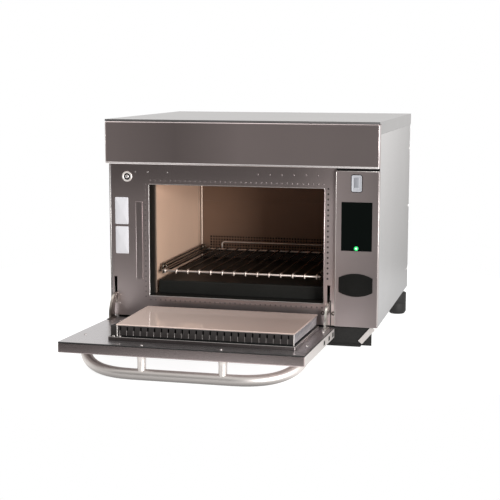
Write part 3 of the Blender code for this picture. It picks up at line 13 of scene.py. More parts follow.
import bmesh
import bpy
import numpy as np
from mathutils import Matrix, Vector


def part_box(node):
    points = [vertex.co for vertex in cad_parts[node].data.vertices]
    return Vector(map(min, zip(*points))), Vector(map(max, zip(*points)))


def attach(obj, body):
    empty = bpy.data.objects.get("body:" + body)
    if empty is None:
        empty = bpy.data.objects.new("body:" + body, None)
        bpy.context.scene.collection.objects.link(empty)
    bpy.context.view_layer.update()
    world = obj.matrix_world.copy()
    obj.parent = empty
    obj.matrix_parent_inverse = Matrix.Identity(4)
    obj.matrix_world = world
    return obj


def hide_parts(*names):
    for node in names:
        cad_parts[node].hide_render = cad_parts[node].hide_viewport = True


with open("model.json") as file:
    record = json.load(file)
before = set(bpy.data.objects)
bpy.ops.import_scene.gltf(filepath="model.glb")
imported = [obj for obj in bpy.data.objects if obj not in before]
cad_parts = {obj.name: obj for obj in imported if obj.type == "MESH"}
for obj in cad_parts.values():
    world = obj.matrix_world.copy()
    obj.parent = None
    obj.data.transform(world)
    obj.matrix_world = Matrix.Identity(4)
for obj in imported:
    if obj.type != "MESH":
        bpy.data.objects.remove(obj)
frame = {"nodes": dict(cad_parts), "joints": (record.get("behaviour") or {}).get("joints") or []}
scene = bpy.context.scene
nodes = frame["nodes"]
joints = {joint["name"]: joint for joint in frame["joints"]}
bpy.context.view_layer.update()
rightward, forward, backward, upward, downward = (1, 0, 0), (0, -1, 0), (0, 1, 0), (0, 0, 1), (0, 0, -1)
mm = 0.001

# %% [markdown]
# ## The camera
# The photograph was taken from a little above and to the right, with a long lens. Its place and
# lens were worked out from the casing's corners, so the render's outline falls on the
# photograph's.

# %% the camera
camera_place = (0.69138, -2.81067, 0.63883)
camera_tilt = math.radians(90 - 8.28)
camera_roll = math.radians(-0.1)
camera_heading = math.radians(13.98)

camera_data = bpy.data.cameras.new("camera")
camera_data.lens = 88.21
camera_data.sensor_width = 36
camera = bpy.data.objects.new("camera", camera_data)
camera.location = camera_place
camera.rotation_euler = (camera_tilt, camera_roll, camera_heading)
scene.collection.objects.link(camera)
scene.camera = camera
scene.view_settings.view_transform = "Standard"
print("camera at", camera_place)

# %% [markdown]
# ## The studio
# Stainless steel is a mirror with a grain, so it looks like what stands round it. A product
# studio has a white sweep behind and under the object, and an unlit room behind the camera. The
# world below is that room: white everywhere, with one soft dark region in front and to the left.
# The camera itself sees plain white. The floor is a round white board that keeps the shadow,
# because only part of its white is given off, and the rest is light that falls on it.

# %% helpers for node trees
def feed(tree, value, socket):
    """Link a socket to another node's output, or give it a fixed value."""
    if isinstance(value, bpy.types.NodeSocket):
        tree.links.new(value, socket)
    else:
        socket.default_value = value


def add_node(tree, kind, *inputs, **values):
    """A shader node of one kind, with its settings by name and its sockets fed by name or in order."""
    node = tree.nodes.new("ShaderNode" + kind)
    for name, value in values.items():
        if name in node.inputs:
            feed(tree, value, node.inputs[name])
        else:
            setattr(node, name, value)
    for place, value in enumerate(inputs):
        if value is not None:
            feed(tree, value, node.inputs[place])
    return node


def any_of(tree, *flags):
    """One where any of the light path's flags is one: the largest of them."""
    path = add_node(tree, "LightPath")
    largest = path.outputs[flags[0]]
    for flag in flags[1:]:
        larger = add_node(tree, "Math", largest, path.outputs[flag], operation="MAXIMUM")
        largest = larger.outputs[0]
    return largest


def between(tree, share, first, second):
    """A colour mixed from two colours by a share between 0 and 1."""
    mix = add_node(tree, "Mix", share, data_type="RGBA")
    mix.inputs[6].default_value = (*first, 1)
    mix.inputs[7].default_value = (*second, 1)
    return mix.outputs[2]


def ranged(tree, value, low, high, new_low=0.0, new_high=1.0, smooth=False):
    """A value carried from one range to another and held within it."""
    limits = {"From Min": low, "From Max": high, "To Min": new_low, "To Max": new_high}
    kind = "SMOOTHSTEP" if smooth else "LINEAR"
    node = add_node(tree, "MapRange", interpolation_type=kind, Value=value, **limits)
    return node.outputs["Result"]


# %% the world
room_white = (1.0, 0.99, 0.975)
room_dark = (0.085, 0.078, 0.075)
dark_heading = math.radians(180 + 17)
dark_edge, dark_core = 0.72, 0.985
room_strength = 0.95

world = bpy.data.worlds.new("studio")
scene.world = world
world.use_nodes = True
room = world.node_tree
room.nodes.clear()
towards = add_node(room, "VectorMath", add_node(room, "TexCoord").outputs["Generated"],
                   (math.sin(dark_heading), math.cos(dark_heading), 0), operation="DOT_PRODUCT")
darkness = ranged(room, towards.outputs["Value"], dark_edge, dark_core, smooth=True)
lit = add_node(room, "Background", between(room, darkness, room_white, room_dark), room_strength)
seen = add_node(room, "Background", (1, 1, 1, 1), 1.0)
choice = add_node(room, "MixShader", any_of(room, "Is Camera Ray", "Is Transmission Ray"),
                  lit.outputs[0], seen.outputs[0])
add_node(room, "OutputWorld", choice.outputs[0])
print("world: strength", room_strength, "with a dark region at", round(math.degrees(dark_heading)))

# %% the floor
floor_reach = 1.02
floor_centre = (-0.17, 0.3, 0)
floor_edges = 96
floor_glow = 0.88
floor_colour = (0.32, 0.32, 0.32, 1)

turn = np.linspace(0, 2 * np.pi, floor_edges, endpoint=False)
rim = np.stack([np.cos(turn), np.sin(turn), 0 * turn], 1) * floor_reach + floor_centre
floor_mesh = bpy.data.meshes.new("floor")
floor_mesh.from_pydata(rim.tolist(), [], [tuple(range(floor_edges))])
floor = bpy.data.objects.new("floor", floor_mesh)
scene.collection.objects.link(floor)
sweep = bpy.data.materials.new("white_sweep")
sweep.use_nodes = True
tree = sweep.node_tree
tree.nodes.clear()
flags = any_of(tree, "Is Camera Ray", "Is Glossy Ray", "Is Transmission Ray")
strength = add_node(tree, "Math", flags, floor_glow, operation="MULTIPLY")
matt = add_node(tree, "BsdfDiffuse", Color=floor_colour)
glow = add_node(tree, "Emission", (1, 1, 1, 1), strength.outputs[0])
both = add_node(tree, "AddShader", matt.outputs[0], glow.outputs[0])
add_node(tree, "OutputMaterial", both.outputs[0])
floor_mesh.materials.append(sweep)
print("floor:", 2 * floor_reach, "m across")

# %% the lamps
def softbox(name, place, aim, size, power):
    """A square area lamp at a place, turned so that it shines at a point."""
    lamp_data = bpy.data.lights.new(name, "AREA")
    lamp_data.size = size
    lamp_data.energy = power
    lamp = bpy.data.objects.new(name, lamp_data)
    lamp.location = place
    lamp.rotation_euler = (Vector(aim) - Vector(place)).to_track_quat("-Z", "Y").to_euler()
    scene.collection.objects.link(lamp)


softbox("key_softbox", (1.9, -2.3, 0.52), (-0.2, 0.1, 0.25), 0.9, 97)
softbox("top_softbox", (-0.6, 0.2, 2.6), (0, 0, 0.3), 1.8, 16)
print("lamps:", [light.name for light in bpy.data.lights])

# %% [markdown]
# ## The finishes
# Sheet steel is brushed on a belt, which leaves fine scratches in one direction. Each finish is a
# Principled shader whose colour, roughness and bump all read one noise that is stretched along
# those scratches, so a streak that is lighter is also smoother. A second, broad noise adds the
# faint clouding of a surface that has been wiped. Everything reads Object coordinates, which are
# metres on the oven, so the scale of the grain is a real one.
#
# The photograph's steel also mirrors a room that isn't built here. Its broad light and dark
# stretches are put into the colour, which is scaled by shares that run from stop to stop along an
# axis: between two stops the share is first + (last - first) * (place - start) / (end - start).

# %% helpers for finishes
finishes = {}
grain_fine, grain_long = 2600, 26
cloud_scale = (7, 7, 5)


def finish(name, colour, roughness, metallic=0.0, **sockets):
    """A new material in the table of finishes, with these values on its shader's own sockets."""
    material = finishes[name] = bpy.data.materials.new(name)
    material.use_nodes = True
    shader = material.node_tree.nodes["Principled BSDF"]
    sockets.update(Base_Color=(*colour, 1), Roughness=roughness, Metallic=metallic)
    for socket, value in sockets.items():
        shader.inputs[socket.replace("_", " ")].default_value = value
    return material.node_tree, shader


def coat(tree, shader, tone, gloss, height=None, depth=0.0, strength=1.0):
    """Feed the shader's colour and roughness, and a bump of height times depth, in metres."""
    feed(tree, tone, shader.inputs["Base Color"])
    feed(tree, gloss, shader.inputs["Roughness"])
    if height is not None:
        bump = add_node(tree, "Bump", Strength=strength, Distance=depth, Height=height)
        feed(tree, bump.outputs["Normal"], shader.inputs["Normal"])


def on_object(tree):
    """A point's place on the oven, in metres."""
    return add_node(tree, "TexCoord").outputs["Object"]


def place_along(tree, axis):
    """A point's place along one axis, in metres."""
    return add_node(tree, "SeparateXYZ", on_object(tree)).outputs[axis]


def noise(tree, waves, detail=3.0):
    """Noise with its waves per metre along x, y and z."""
    mapping = add_node(tree, "Mapping", Vector=on_object(tree), Scale=waves)
    pattern = add_node(tree, "TexNoise", Vector=mapping.outputs["Vector"], Scale=1.0, Detail=detail)
    return pattern.outputs["Fac"]


def blend_values(tree, first, second, share):
    """A weighted sum of two values: first times (1 - share) plus second times share."""
    return add_node(tree, "Mix", share, None, first, second, data_type="FLOAT").outputs[0]


def ragged(tree, axis, start, end, waves, detail, shift, smooth=False):
    """A noise, and the share of the way from start to end along an axis, which it makes ragged."""
    cloud = noise(tree, waves, detail)
    place = place_along(tree, axis)
    shifted = add_node(tree, "Math", cloud, shift, place, operation="MULTIPLY_ADD")
    return cloud, ranged(tree, shifted.outputs[0], start, end, smooth=smooth)


def scaled(colour, factor):
    """A colour made lighter or darker by a factor."""
    return tuple(min(1.0, channel * factor) for channel in colour)


def toned(tree, share, colour, contrast):
    """The colour, darker by the contrast where the share is 0 and lighter by it where it is 1."""
    return between(tree, share, scaled(colour, 1 - contrast), scaled(colour, 1 + contrast))


def brushed(name, colour, roughness, along=0, contrast=0.035, cloud=0.35, metallic=1.0):
    """Belt-brushed steel: colour, roughness and bump follow one noise stretched along an axis."""
    tree, shader = finish(name, colour, roughness, metallic)
    waves = [grain_fine] * 3
    waves[along] = grain_long
    scratches = noise(tree, waves, 2.0)
    look = blend_values(tree, scratches, noise(tree, cloud_scale), cloud)
    tone = toned(tree, ranged(tree, look, 0.3, 0.7), colour, contrast)
    gloss = ranged(tree, look, 0.3, 0.7, roughness * 1.05, roughness * 0.95)
    coat(tree, shader, tone, gloss, scratches, 0.000006, 0.35)


def paint_light_and_shade(name, axis, *stops):
    """Paint light and shade into a finish's colour, scaled by shares from stop to stop along an axis."""
    tree = finishes[name].node_tree
    colour = tree.nodes["Principled BSDF"].inputs["Base Color"]
    tone, place = colour.links[0].from_socket, place_along(tree, axis)
    shares = [ranged(tree, place, start, end, 1.0, last / first)
              for (start, first), (end, last) in zip(stops, stops[1:])]
    for share in shares + [stops[0][1]]:
        tone = add_node(tree, "VectorMath", tone, operation="SCALE", Scale=share).outputs[0]
    feed(tree, tone, colour)


def speckled(name, colour, roughness, scale=900, contrast=0.25, depth=0.00005, metallic=0.0, **sockets):
    """A moulded, cast or enamelled surface: fine even specks in colour, gloss and height."""
    tree, shader = finish(name, colour, roughness, metallic, **sockets)
    specks = noise(tree, [scale] * 3, 4.0)
    look = blend_values(tree, specks, noise(tree, [scale / 60] * 3, 2.0), 0.4)
    tone = toned(tree, ranged(tree, look, 0.32, 0.68), colour, contrast)
    gloss = ranged(tree, look, 0.32, 0.68, roughness * 0.85, roughness * 1.15)
    coat(tree, shader, tone, gloss, specks, depth, 0.4)


# %% finishes that are used once
def spangled(name, colour, roughness):
    """Zinc-plated sheet: flat crystals, each a little lighter or darker than the next."""
    tree, shader = finish(name, colour, roughness, 1.0)
    crystals = add_node(tree, "TexVoronoi", Vector=on_object(tree), Scale=140)
    parts = add_node(tree, "SeparateColor", crystals.outputs["Color"])
    tone = between(tree, parts.outputs[0], scaled(colour, 0.8), scaled(colour, 1.15))
    coat(tree, shader, tone, ranged(tree, parts.outputs[1], 0.0, 1.0, roughness * 0.75, roughness * 1.25))


def bright_tip_wire(name):
    """Rack wire: bright at its bent tip and darker further in, along y."""
    tree, shader = finish(name, (0.1, 0.07, 0.05), 0.34, 1.0)
    spots, fade_share = ragged(tree, "Y", -0.068, -0.05, (160, 40, 160), 3.0, 0.02)
    tone = between(tree, fade_share, (0.7, 0.62, 0.565), (0.14, 0.1, 0.076))
    coat(tree, shader, tone, ranged(tree, fade_share, 0, 1, 0.46, 0.4), spots, 0.00005, 0.4)


def wall_with_painted_shade(name):
    """Enamelled sheet with painted shade that makes it darker downwards, over the field of jets."""
    tree, shader = finish(name, (0.19, 0.118, 0.08), 0.42, 0.6)
    cloud, fade_share = ragged(tree, "Z", 0.172, 0.186, (14, 14, 30), 4.0, 0.02, smooth=True)
    tone = between(tree, fade_share, (0.04, 0.03, 0.024), (0.168, 0.106, 0.073))
    coat(tree, shader, tone, ranged(tree, cloud, 0.3, 0.7, 0.38, 0.48), cloud, 0.00002, 0.3)


def polymer_with_painted_reflection(name):
    """Beige polymer, polished so it mirrors, with a painted reflection that lightens it towards its left end.
    """
    tree, shader = finish(name, (0.52, 0.4, 0.35), 0.07)
    cloud, reflection_share = ragged(tree, "X", -0.2, 0.16, (6, 3, 6), 3.0, 0.05)
    tone = between(tree, reflection_share, (0.72, 0.575, 0.51), (0.44, 0.335, 0.295))
    coat(tree, shader, tone, ranged(tree, cloud, 0.3, 0.7, 0.06, 0.09))


key_x, key_z = 0.2688, 0.249


def key_light(name):
    """A lit key: its colour runs from a white heart to green and its light fades out at the rim."""
    tree, shader = finish(name, (0.02, 0.3, 0.08), 0.25)
    centred = add_node(tree, "Mapping", Vector=on_object(tree), Location=(-key_x, 0, -key_z),
                       Scale=(1, 0, 1))
    reach = add_node(tree, "VectorMath", centred.outputs[0], operation="LENGTH").outputs["Value"]
    glow = between(tree, ranged(tree, reach, 0.001, 0.0022), (0.9, 1.0, 0.92), (0.02, 0.5, 0.12))
    feed(tree, glow, shader.inputs["Base Color"])
    feed(tree, glow, shader.inputs["Emission Color"])
    feed(tree, ranged(tree, reach, 0.0035, 0.005, 0.9, 0.15), shader.inputs["Emission Strength"])


def black_glass(name):
    """One sheet of smooth glass over a dark, unlit screen, with a faint smear in its gloss."""
    tree, shader = finish(name, (0.0015, 0.0025, 0.0022), 0.07, IOR=1.36)
    smear = noise(tree, (30, 30, 18), 4.0)
    feed(tree, ranged(tree, smear, 0.35, 0.65, 0.05, 0.11), shader.inputs["Roughness"])


# %% the sheet steels
# The hood, frame, column and door finishes are lighter and darker copies of one warm steel, and the side and
# lid finishes are copies of one pale steel: painted light and shade.
warm_steel = (0.418, 0.358, 0.352)
pale_steel = (0.47, 0.462, 0.464)

# Every call that scales a finish along an axis paints light and shade into it. It paints reflections in bands
# on the hood, frame, door and hems, and light and shade across the column and the sides. It paints light at
# the top of the cavity's walls and shade on the handle's underside.
brushed("hood_steel", scaled(warm_steel, 1.42), 0.3)
paint_light_and_shade("hood_steel", "X", (-0.3, 1.18), (-0.15, 0.8), (0.0, 1.13), (0.135, 0.98), (0.3, 0.73))
brushed("frame_steel", scaled(warm_steel, 1.22), 0.33)
paint_light_and_shade("frame_steel", "X", (0.12, 1.0), (0.205, 1.45))
paint_light_and_shade("frame_steel", "Z", (0.34, 1.03), (0.405, 0.68))
brushed("column_steel", scaled(warm_steel, 1.12), 0.36)
paint_light_and_shade("column_steel", "Z", (0.05, 0.6), (0.25, 1.0), (0.42, 0.88))
paint_light_and_shade("column_steel", "X", (0.225, 1.22), (0.31, 0.78))
brushed("door_steel", scaled(warm_steel, 0.96), 0.26)
paint_light_and_shade("door_steel", "X", (-0.25, 0.66), (-0.09, 0.88), (0.1, 1.3))
brushed("side_steel", pale_steel, 0.36, along=1)
paint_light_and_shade("side_steel", "Z", (0.06, 0.62), (0.5, 1.26))
paint_light_and_shade("side_steel", "Y", (-0.12, 1.1), (0.45, 0.72))
brushed("oven_wall", (0.66, 0.45, 0.33), 0.45, along=2, contrast=0.06, metallic=0.1)
paint_light_and_shade("oven_wall", "Z", (0.33, 1.0), (0.39, 1.22))
brushed("handle_steel", (0.67, 0.63, 0.605), 0.42)
paint_light_and_shade("handle_steel", "Z", (0.004, 0.31), (0.024, 1.0))
# A lighter steel than the hood's, for its hems: painted highlight.
brushed("hem_highlight_steel", (0.74, 0.7, 0.69), 0.42)
paint_light_and_shade("hem_highlight_steel", "X", (-0.13, 1.3), (0.02, 0.85))
brushed("lid_steel", scaled(pale_steel, 0.87), 0.34)
brushed("door_panel_steel", (0.46, 0.44, 0.452), 0.28)
brushed("base_steel", (0.13, 0.115, 0.112), 0.34)
brushed("strip_steel", scaled(warm_steel, 0.85), 0.34, along=2)
brushed("pale_sheet", (0.45, 0.422, 0.405), 0.5, along=2, metallic=0.25)
wall_with_painted_shade("oven_back")
spangled("zinc_plate", (0.6, 0.6, 0.57), 0.42)
print("sheet finishes:", len(finishes))

# %% the finishes of wire, edges and small metal parts
brushed("wire_steel", (0.76, 0.68, 0.63), 0.48, along=1, contrast=0.08)
bright_tip_wire("bright_tip_wire")
speckled("rail_steel", (0.1, 0.085, 0.07), 0.38, metallic=1.0)
brushed("fence_steel", (0.112, 0.103, 0.1), 0.38, along=2)
# The fence's sides take a copy of the fence's steel that is three times lighter: painted light.
brushed("fence_side_steel_painted_light", (0.34, 0.33, 0.35), 0.45, along=2, cloud=0.12)
# The slots' folded edges take a pale copy of the fence's steel: painted highlight.
brushed("fold_highlight_steel", (0.36, 0.335, 0.325), 0.42, along=2)
brushed("edge_steel", (0.8, 0.765, 0.755), 0.36, contrast=0.05)
brushed("lip_steel", (0.46, 0.43, 0.415), 0.34, contrast=0.05)
brushed("flange_steel", (0.3, 0.285, 0.28), 0.36, along=2)
brushed("corner_steel", (0.34, 0.255, 0.205), 0.38, along=2, contrast=0.05, metallic=0.8)
brushed("ring_steel", (0.86, 0.82, 0.79), 0.55)
brushed("arm_steel", (0.5, 0.48, 0.44), 0.26, along=2, contrast=0.12)
# A darker copy of the arm steel for the left hinge arm: painted shade.
brushed("left_arm_painted_shade_steel", (0.3, 0.268, 0.24), 0.3, along=2, contrast=0.12)
speckled("weld_steel", (0.085, 0.07, 0.068), 0.4, metallic=1.0)
speckled("weld_faint", scaled(warm_steel, 0.8), 0.36, metallic=1.0)
brushed("wheel_steel", (0.022, 0.019, 0.017), 0.45, along=1)
brushed("core_steel", (0.19, 0.19, 0.2), 0.5)
brushed("aluminium", (0.72, 0.72, 0.72), 0.38, along=1)
print("with the metal parts:", len(finishes))

# %% the finishes of enamel, rubber, plastic and glass
speckled("black_enamel", (0.008, 0.008, 0.007), 0.46, 500, 0.3, 0.00003, Specular_IOR_Level=0.22)
speckled("deep_black", (0.004, 0.004, 0.004), 0.75, 900, 0.3, 0.00002, Specular_IOR_Level=0.1)
speckled("black_rubber", (0.014, 0.0135, 0.013), 0.68, 1200, 0.3, 0.0001, Specular_IOR_Level=0.35)
speckled("filter_mesh", (0.01, 0.0095, 0.009), 0.6, 260, 0.5, 0.0004, Specular_IOR_Level=0.2)
speckled("badge_black", (0.006, 0.006, 0.0055), 0.22, 1500, 0.2, 0.00001, Specular_IOR_Level=0.3)
speckled("black_plastic", (0.022, 0.022, 0.021), 0.45, 1500, 0.2, 0.00004)
speckled("grey_plastic", (0.33, 0.335, 0.36), 0.4, 1500, 0.06, 0.00003)
speckled("field_plastic", (0.2, 0.205, 0.225), 0.4, 1500, 0.06, 0.00003)
speckled("label_film", (0.6, 0.595, 0.62), 0.42, 2500, 0.02, 0.00001)
speckled("board_green", (0.03, 0.17, 0.08), 0.5, 260, 0.35, 0.00004)
polymer_with_painted_reflection("choke_polymer")
black_glass("display_glass")
key_light("key_light")
print("finishes:", len(finishes))

# %% [markdown]
# ## Dressing the frame's own solids
# Most of the oven's sheet parts are right as they are, so they only get a finish. One table says
# which finish each solid of the frame gets.

# %% a finish for every solid
dressing = {
    "hood_steel": "hood_front",
    "frame_steel": "front_frame",
    "column_steel": "control_panel",
    "door_steel": "door_outer_skin",
    "door_panel_steel": "door_inner_panel choke_base_plate",
    "side_steel": "left_side_panel right_side_panel back_panel",
    "lid_steel": "top_cover filter_end_left filter_end_right switch_bushing switch_plunger port_socket",
    "oven_wall": "cavity_left_wall cavity_right_wall cavity_ceiling",
    "oven_back": "cavity_back_wall",
    "black_enamel": "choke_collar cavity_floor base_tray",
    "zinc_plate": "base_pan cavity_cradle hinge_housing_left hinge_housing_right",
    "arm_steel": "hinge_arm_left hinge_arm_right",
    "handle_steel": "door_handle handle_post_left handle_post_right",
    "wire_steel": "oven_rack rack_back_stop",
    "rail_steel": "rack_rail_left rack_rail_right heater_coil",
    "fence_steel": "choke_fence",
    # The fan's plenum is zinc-plated sheet but takes deep black: painted shade seen through the back wall's
    # holes.
    "deep_black": "fan_plenum",
    "choke_polymer": "choke_cover",
    "black_rubber": "door_seal foot_front_left foot_front_right foot_rear_left foot_rear_right",
    "filter_mesh": "air_filter",
    "black_plastic": "badge_plate cord_gland cooling_fan cooling_fan_shroud",
    "grey_plastic": "port_cover",
    "display_glass": "display_glass",
    "aluminium": "waveguide magnetron_left magnetron_right hv_capacitor",
    "core_steel": "transformer_front transformer_rear convection_motor",
    "board_green": "control_board",
    "wheel_steel": "convection_fan",
}
for look, members in dressing.items():
    for member in members.split():
        nodes[member].material_slots[0].material = finishes[look]
print("dressed:", sum(len(members.split()) for members in dressing.values()), "of", len(nodes))

# %% [markdown]
# ## How the new pieces are made
# A new piece is one or more grids of points. A grid is worked out as a whole from two numbers, how
# far round a section a point lies and how far along the piece, so there is no loop over points.
# Its quads follow from its rows and columns. Where a grid meets itself or shrinks to a point, the
# doubled points are merged, and then every face is turned outwards.

# %% helpers that turn grids into pieces
def quads(rows, columns):
    """Corner numbers of a grid's quads: point, next in its row, the one above that, the one above."""
    row, column = np.arange(rows - 1)[:, None], np.arange(columns)[None]
    following = (column + 1) % columns
    corners = (row * columns + column, row * columns + following,
               (row + 1) * columns + following, (row + 1) * columns + column)
    return np.stack(np.broadcast_arrays(*corners), -1).reshape(-1, 4)


def settled(name, mesh, look, stands_for=(), body="oven_body", merge=0.00001, sharp=40):
    """Merge a mesh's doubles, turn its faces outwards, give it its finish and let it ride its body."""
    shape = bmesh.new()
    shape.from_mesh(mesh)
    bmesh.ops.remove_doubles(shape, verts=shape.verts, dist=merge)
    bmesh.ops.recalc_face_normals(shape, faces=shape.faces)
    shape.to_mesh(mesh)
    shape.free()
    mesh.shade_smooth()
    mesh.set_sharp_from_angle(angle=math.radians(sharp))
    mesh.materials.clear()
    mesh.materials.append(finishes[look])
    piece = bpy.data.objects.new(name, mesh)
    scene.collection.objects.link(piece)
    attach(piece, body)
    if stands_for:
        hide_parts(*stands_for)
    print(name, len(mesh.polygons), "faces")
    return piece


def new_piece(name, grids, look, stands_for=(), body="oven_body"):
    """One mesh from grids of shape (..., rows, columns, 3), whose rows close on themselves."""
    points, faces, count = [], [], 0
    for grid in grids:
        rows, columns = grid.shape[-3:-1]
        copies = np.arange(grid.size // (3 * rows * columns)) * rows * columns
        faces.append((quads(rows, columns) + copies[:, None, None]).reshape(-1, 4) + count)
        points.append(grid.reshape(-1, 3))
        count += len(points[-1])
    mesh = bpy.data.meshes.new(name)
    mesh.from_pydata(np.concatenate(points).tolist(), [], np.concatenate(faces).tolist())
    settled(name, mesh, look, stands_for, body)


def box_of(node):
    """A node's lowest corner, highest corner and middle, at rest."""
    low, high = (np.array(corner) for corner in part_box(node))
    return low, high, (low + high) / 2


# %% a round bar along a path
def tube(path, radius, sides=12, up=backward, bulge=0.4):
    """Path point + radius * (cos t * side + sin t * over), with domed ends.

    A path whose last point is its first makes a ring."""
    path = np.asarray(path, float)
    radii = np.full(len(path), radius)
    ahead = np.gradient(path, axis=0)
    ring = np.allclose(path[0], path[-1])
    if ring:
        ahead[0] = ahead[-1] = path[1] - path[-2]
    ahead /= np.linalg.norm(ahead, axis=1, keepdims=True)
    if not ring:
        lean = np.radians([90, 60, 30])[:, None]
        first = path[0] - np.sin(lean) * ahead[0] * radius * bulge
        last = path[-1] + np.sin(lean[::-1]) * ahead[-1] * radius * bulge
        path = np.concatenate([first, path, last])
        radii = np.concatenate([radius * np.cos(lean[:, 0]), radii, radius * np.cos(lean[::-1, 0])])
        ahead = np.concatenate([ahead[:1]] * 3 + [ahead] + [ahead[-1:]] * 3)
    side = np.cross(ahead, up)
    side /= np.linalg.norm(side, axis=1, keepdims=True)
    over = np.cross(side, ahead)
    angle = np.linspace(0, 2 * np.pi, sides, endpoint=False)[:, None]
    spokes = np.cos(angle) * side[:, None] + np.sin(angle) * over[:, None]
    return path[:, None] + radii[:, None, None] * spokes


def rounded(corners, radius, steps=5):
    """A path through corner points, with each inner corner replaced by a curve.

    The curve is (1-t)^2 * start + 2t(1-t) * corner + t^2 * end, from radius before to radius after."""
    corners = np.asarray(corners, float)
    before, at, after = corners[:-2, None], corners[1:-1, None], corners[2:, None]
    back = (before - at) / np.linalg.norm(before - at, axis=-1, keepdims=True)
    on = (after - at) / np.linalg.norm(after - at, axis=-1, keepdims=True)
    share = np.linspace(0, 1, steps)[None, :, None]
    curves = at + radius * ((1 - share) ** 2 * back + share ** 2 * on)
    return np.concatenate([corners[:1], curves.reshape(-1, 3), corners[-1:]])


# %% a turned shape or a screw, at one place or at many
def turned(profile, places, axis=forward, sides=16):
    """Place + height * axis + radius * (cos t * across + sin t * over), for each (radius, height).

    Both are in millimetres, and each is one number, or one for each side of the shape."""
    across = np.cross(axis, upward if abs(axis[2]) < 0.9 else backward)
    angle = np.linspace(0, 2 * np.pi, sides, endpoint=False)[:, None]
    spokes = np.cos(angle) * across + np.sin(angle) * np.cross(axis, across)
    rows = len(profile), -1, 1
    radius = mm * np.reshape([radius for radius, height in profile], rows)
    height = mm * np.reshape([height for radius, height in profile], rows)
    return np.reshape(places, (-1, 1, 1, 3)) + height * np.array(axis) + radius * spokes


def screws(places, axis, radius, sides=24):
    """Pan heads, radius in millimetres: a dome, sunk where the smaller of |x| and |y| is in the slot."""
    slot_half, slot_depth, slot_reach = 0.1, 0.32, 0.55
    angle = np.linspace(0, 2 * np.pi, sides, endpoint=False)
    dome = [(0, 0), (1, 0), (1, 0.3), (0.97, 0.42), (0.88, 0.53), (0.7, 0.62), (0.56, 0.65), (0.52, 0.65),
            (0.34, 0.66), (0.15, 0.66), (0, 0.66)]
    profile = []
    for share, height in dome:
        in_slot = share * np.minimum(abs(np.cos(angle)), abs(np.sin(angle))) < slot_half
        sunk = slot_depth * (in_slot & (share < slot_reach) & (height > 0))
        profile.append((np.full(sides, radius * share), radius * (height - sunk)))
    return turned(profile, places, axis, sides)


# %% a flat piece with round corners
def round_corners(width, height, radius, steps=4):
    """The outline of a rectangle with round corners: corner centre + radius * (cos t, sin t)."""
    angle = np.linspace(0, np.pi / 2, steps) + np.arange(4)[:, None] * np.pi / 2
    out = np.stack([np.cos(angle), np.sin(angle)], -1)
    corner = np.array([(1, 1), (-1, 1), (-1, -1), (1, -1)]) * [width / 2 - radius, height / 2 - radius]
    return (corner[:, None] + radius * out).reshape(-1, 2)


def hoop(size, radius, middle, level, steps=4):
    """A closed path at y = level, round a rectangle with round corners."""
    outline = round_corners(*size, radius, steps) + (middle[0], middle[-1])
    return np.insert(np.concatenate([outline, outline[:1]]), 1, level, axis=1)


def plaque(size, radius, levels, centre, across=rightward, up=upward, steps=4):
    """The outline drawn once for each level (inset, rise) in millimetres, closed at both faces' middles."""
    levels, out = mm * np.array(levels), np.cross(across, up)
    rows = [np.tile(centre + levels[0][1] * out, (steps * 4, 1))]
    for inset, rise in levels:
        outline = round_corners(size[0] - 2 * inset, size[1] - 2 * inset, max(radius - inset, 0), steps)
        rows.append(centre + rise * out + outline @ np.stack([across, up]))
    rows.append(np.tile(centre + levels[-1][1] * out, (steps * 4, 1)))
    return np.stack(rows)


# %% [markdown]
# ## Pieces that swing with the door
# The door, its choke and its handle were measured shut, about the hinge axis. The photograph has
# the door open, which is the frame's rest pose, so every point on the door is turned about the
# hinge by the swing and then moved to the hinge.

# %% the door's own frame
hinge = np.array(joints["door_hinge"]["pos_m"])
door_swing = -math.radians(joints["door_hinge"]["range_deg"][0])


def on_door(points):
    """Turn points by the swing about x: y cos a - z sin a and y sin a + z cos a, then add the hinge."""
    x, y, z = points[..., 0], points[..., 1], points[..., 2]
    cos, sin = math.cos(door_swing), math.sin(door_swing)
    return np.stack([x, y * cos - z * sin, y * sin + z * cos], -1) + hinge


def door_piece(name, grids, look, stands_for=()):
    """A piece that is laid out on the shut door and rides on the door."""
    new_piece(name, [on_door(grid) for grid in grids], look, stands_for, "door")


door_left, door_right = -0.3114, 0.2196
door_middle = (door_left + door_right) / 2
door_front, door_inner, door_heel, door_top = -0.0362, -0.013, 0.009, 0.3475
print("hinge at", hinge, "swing", round(math.degrees(door_swing), 1))

# %% [markdown]
# ## The handle
# The handle is one steel tube. Its middle is straight, and its ends sweep back and down to the
# door's face, where they are cut flush and welded. A CAD tube has few sides, so this one is drawn
# again: a circle carried along a flattened quarter-ellipse at each end. Where the tube would run
# into the door, its points are pressed onto the door's face, which is what a flush cut does. Two
# turned posts, flared at the weld, hold the middle.

# %% the handle and its posts
handle_middle, handle_radius = door_middle + 0.0031, 0.012
half_end, half_bar, sweep_power = 0.2407, 0.1086, 0.6
bar_y, bar_z, end_z = door_front - 0.039, door_top - 0.0137, door_top - 0.0975

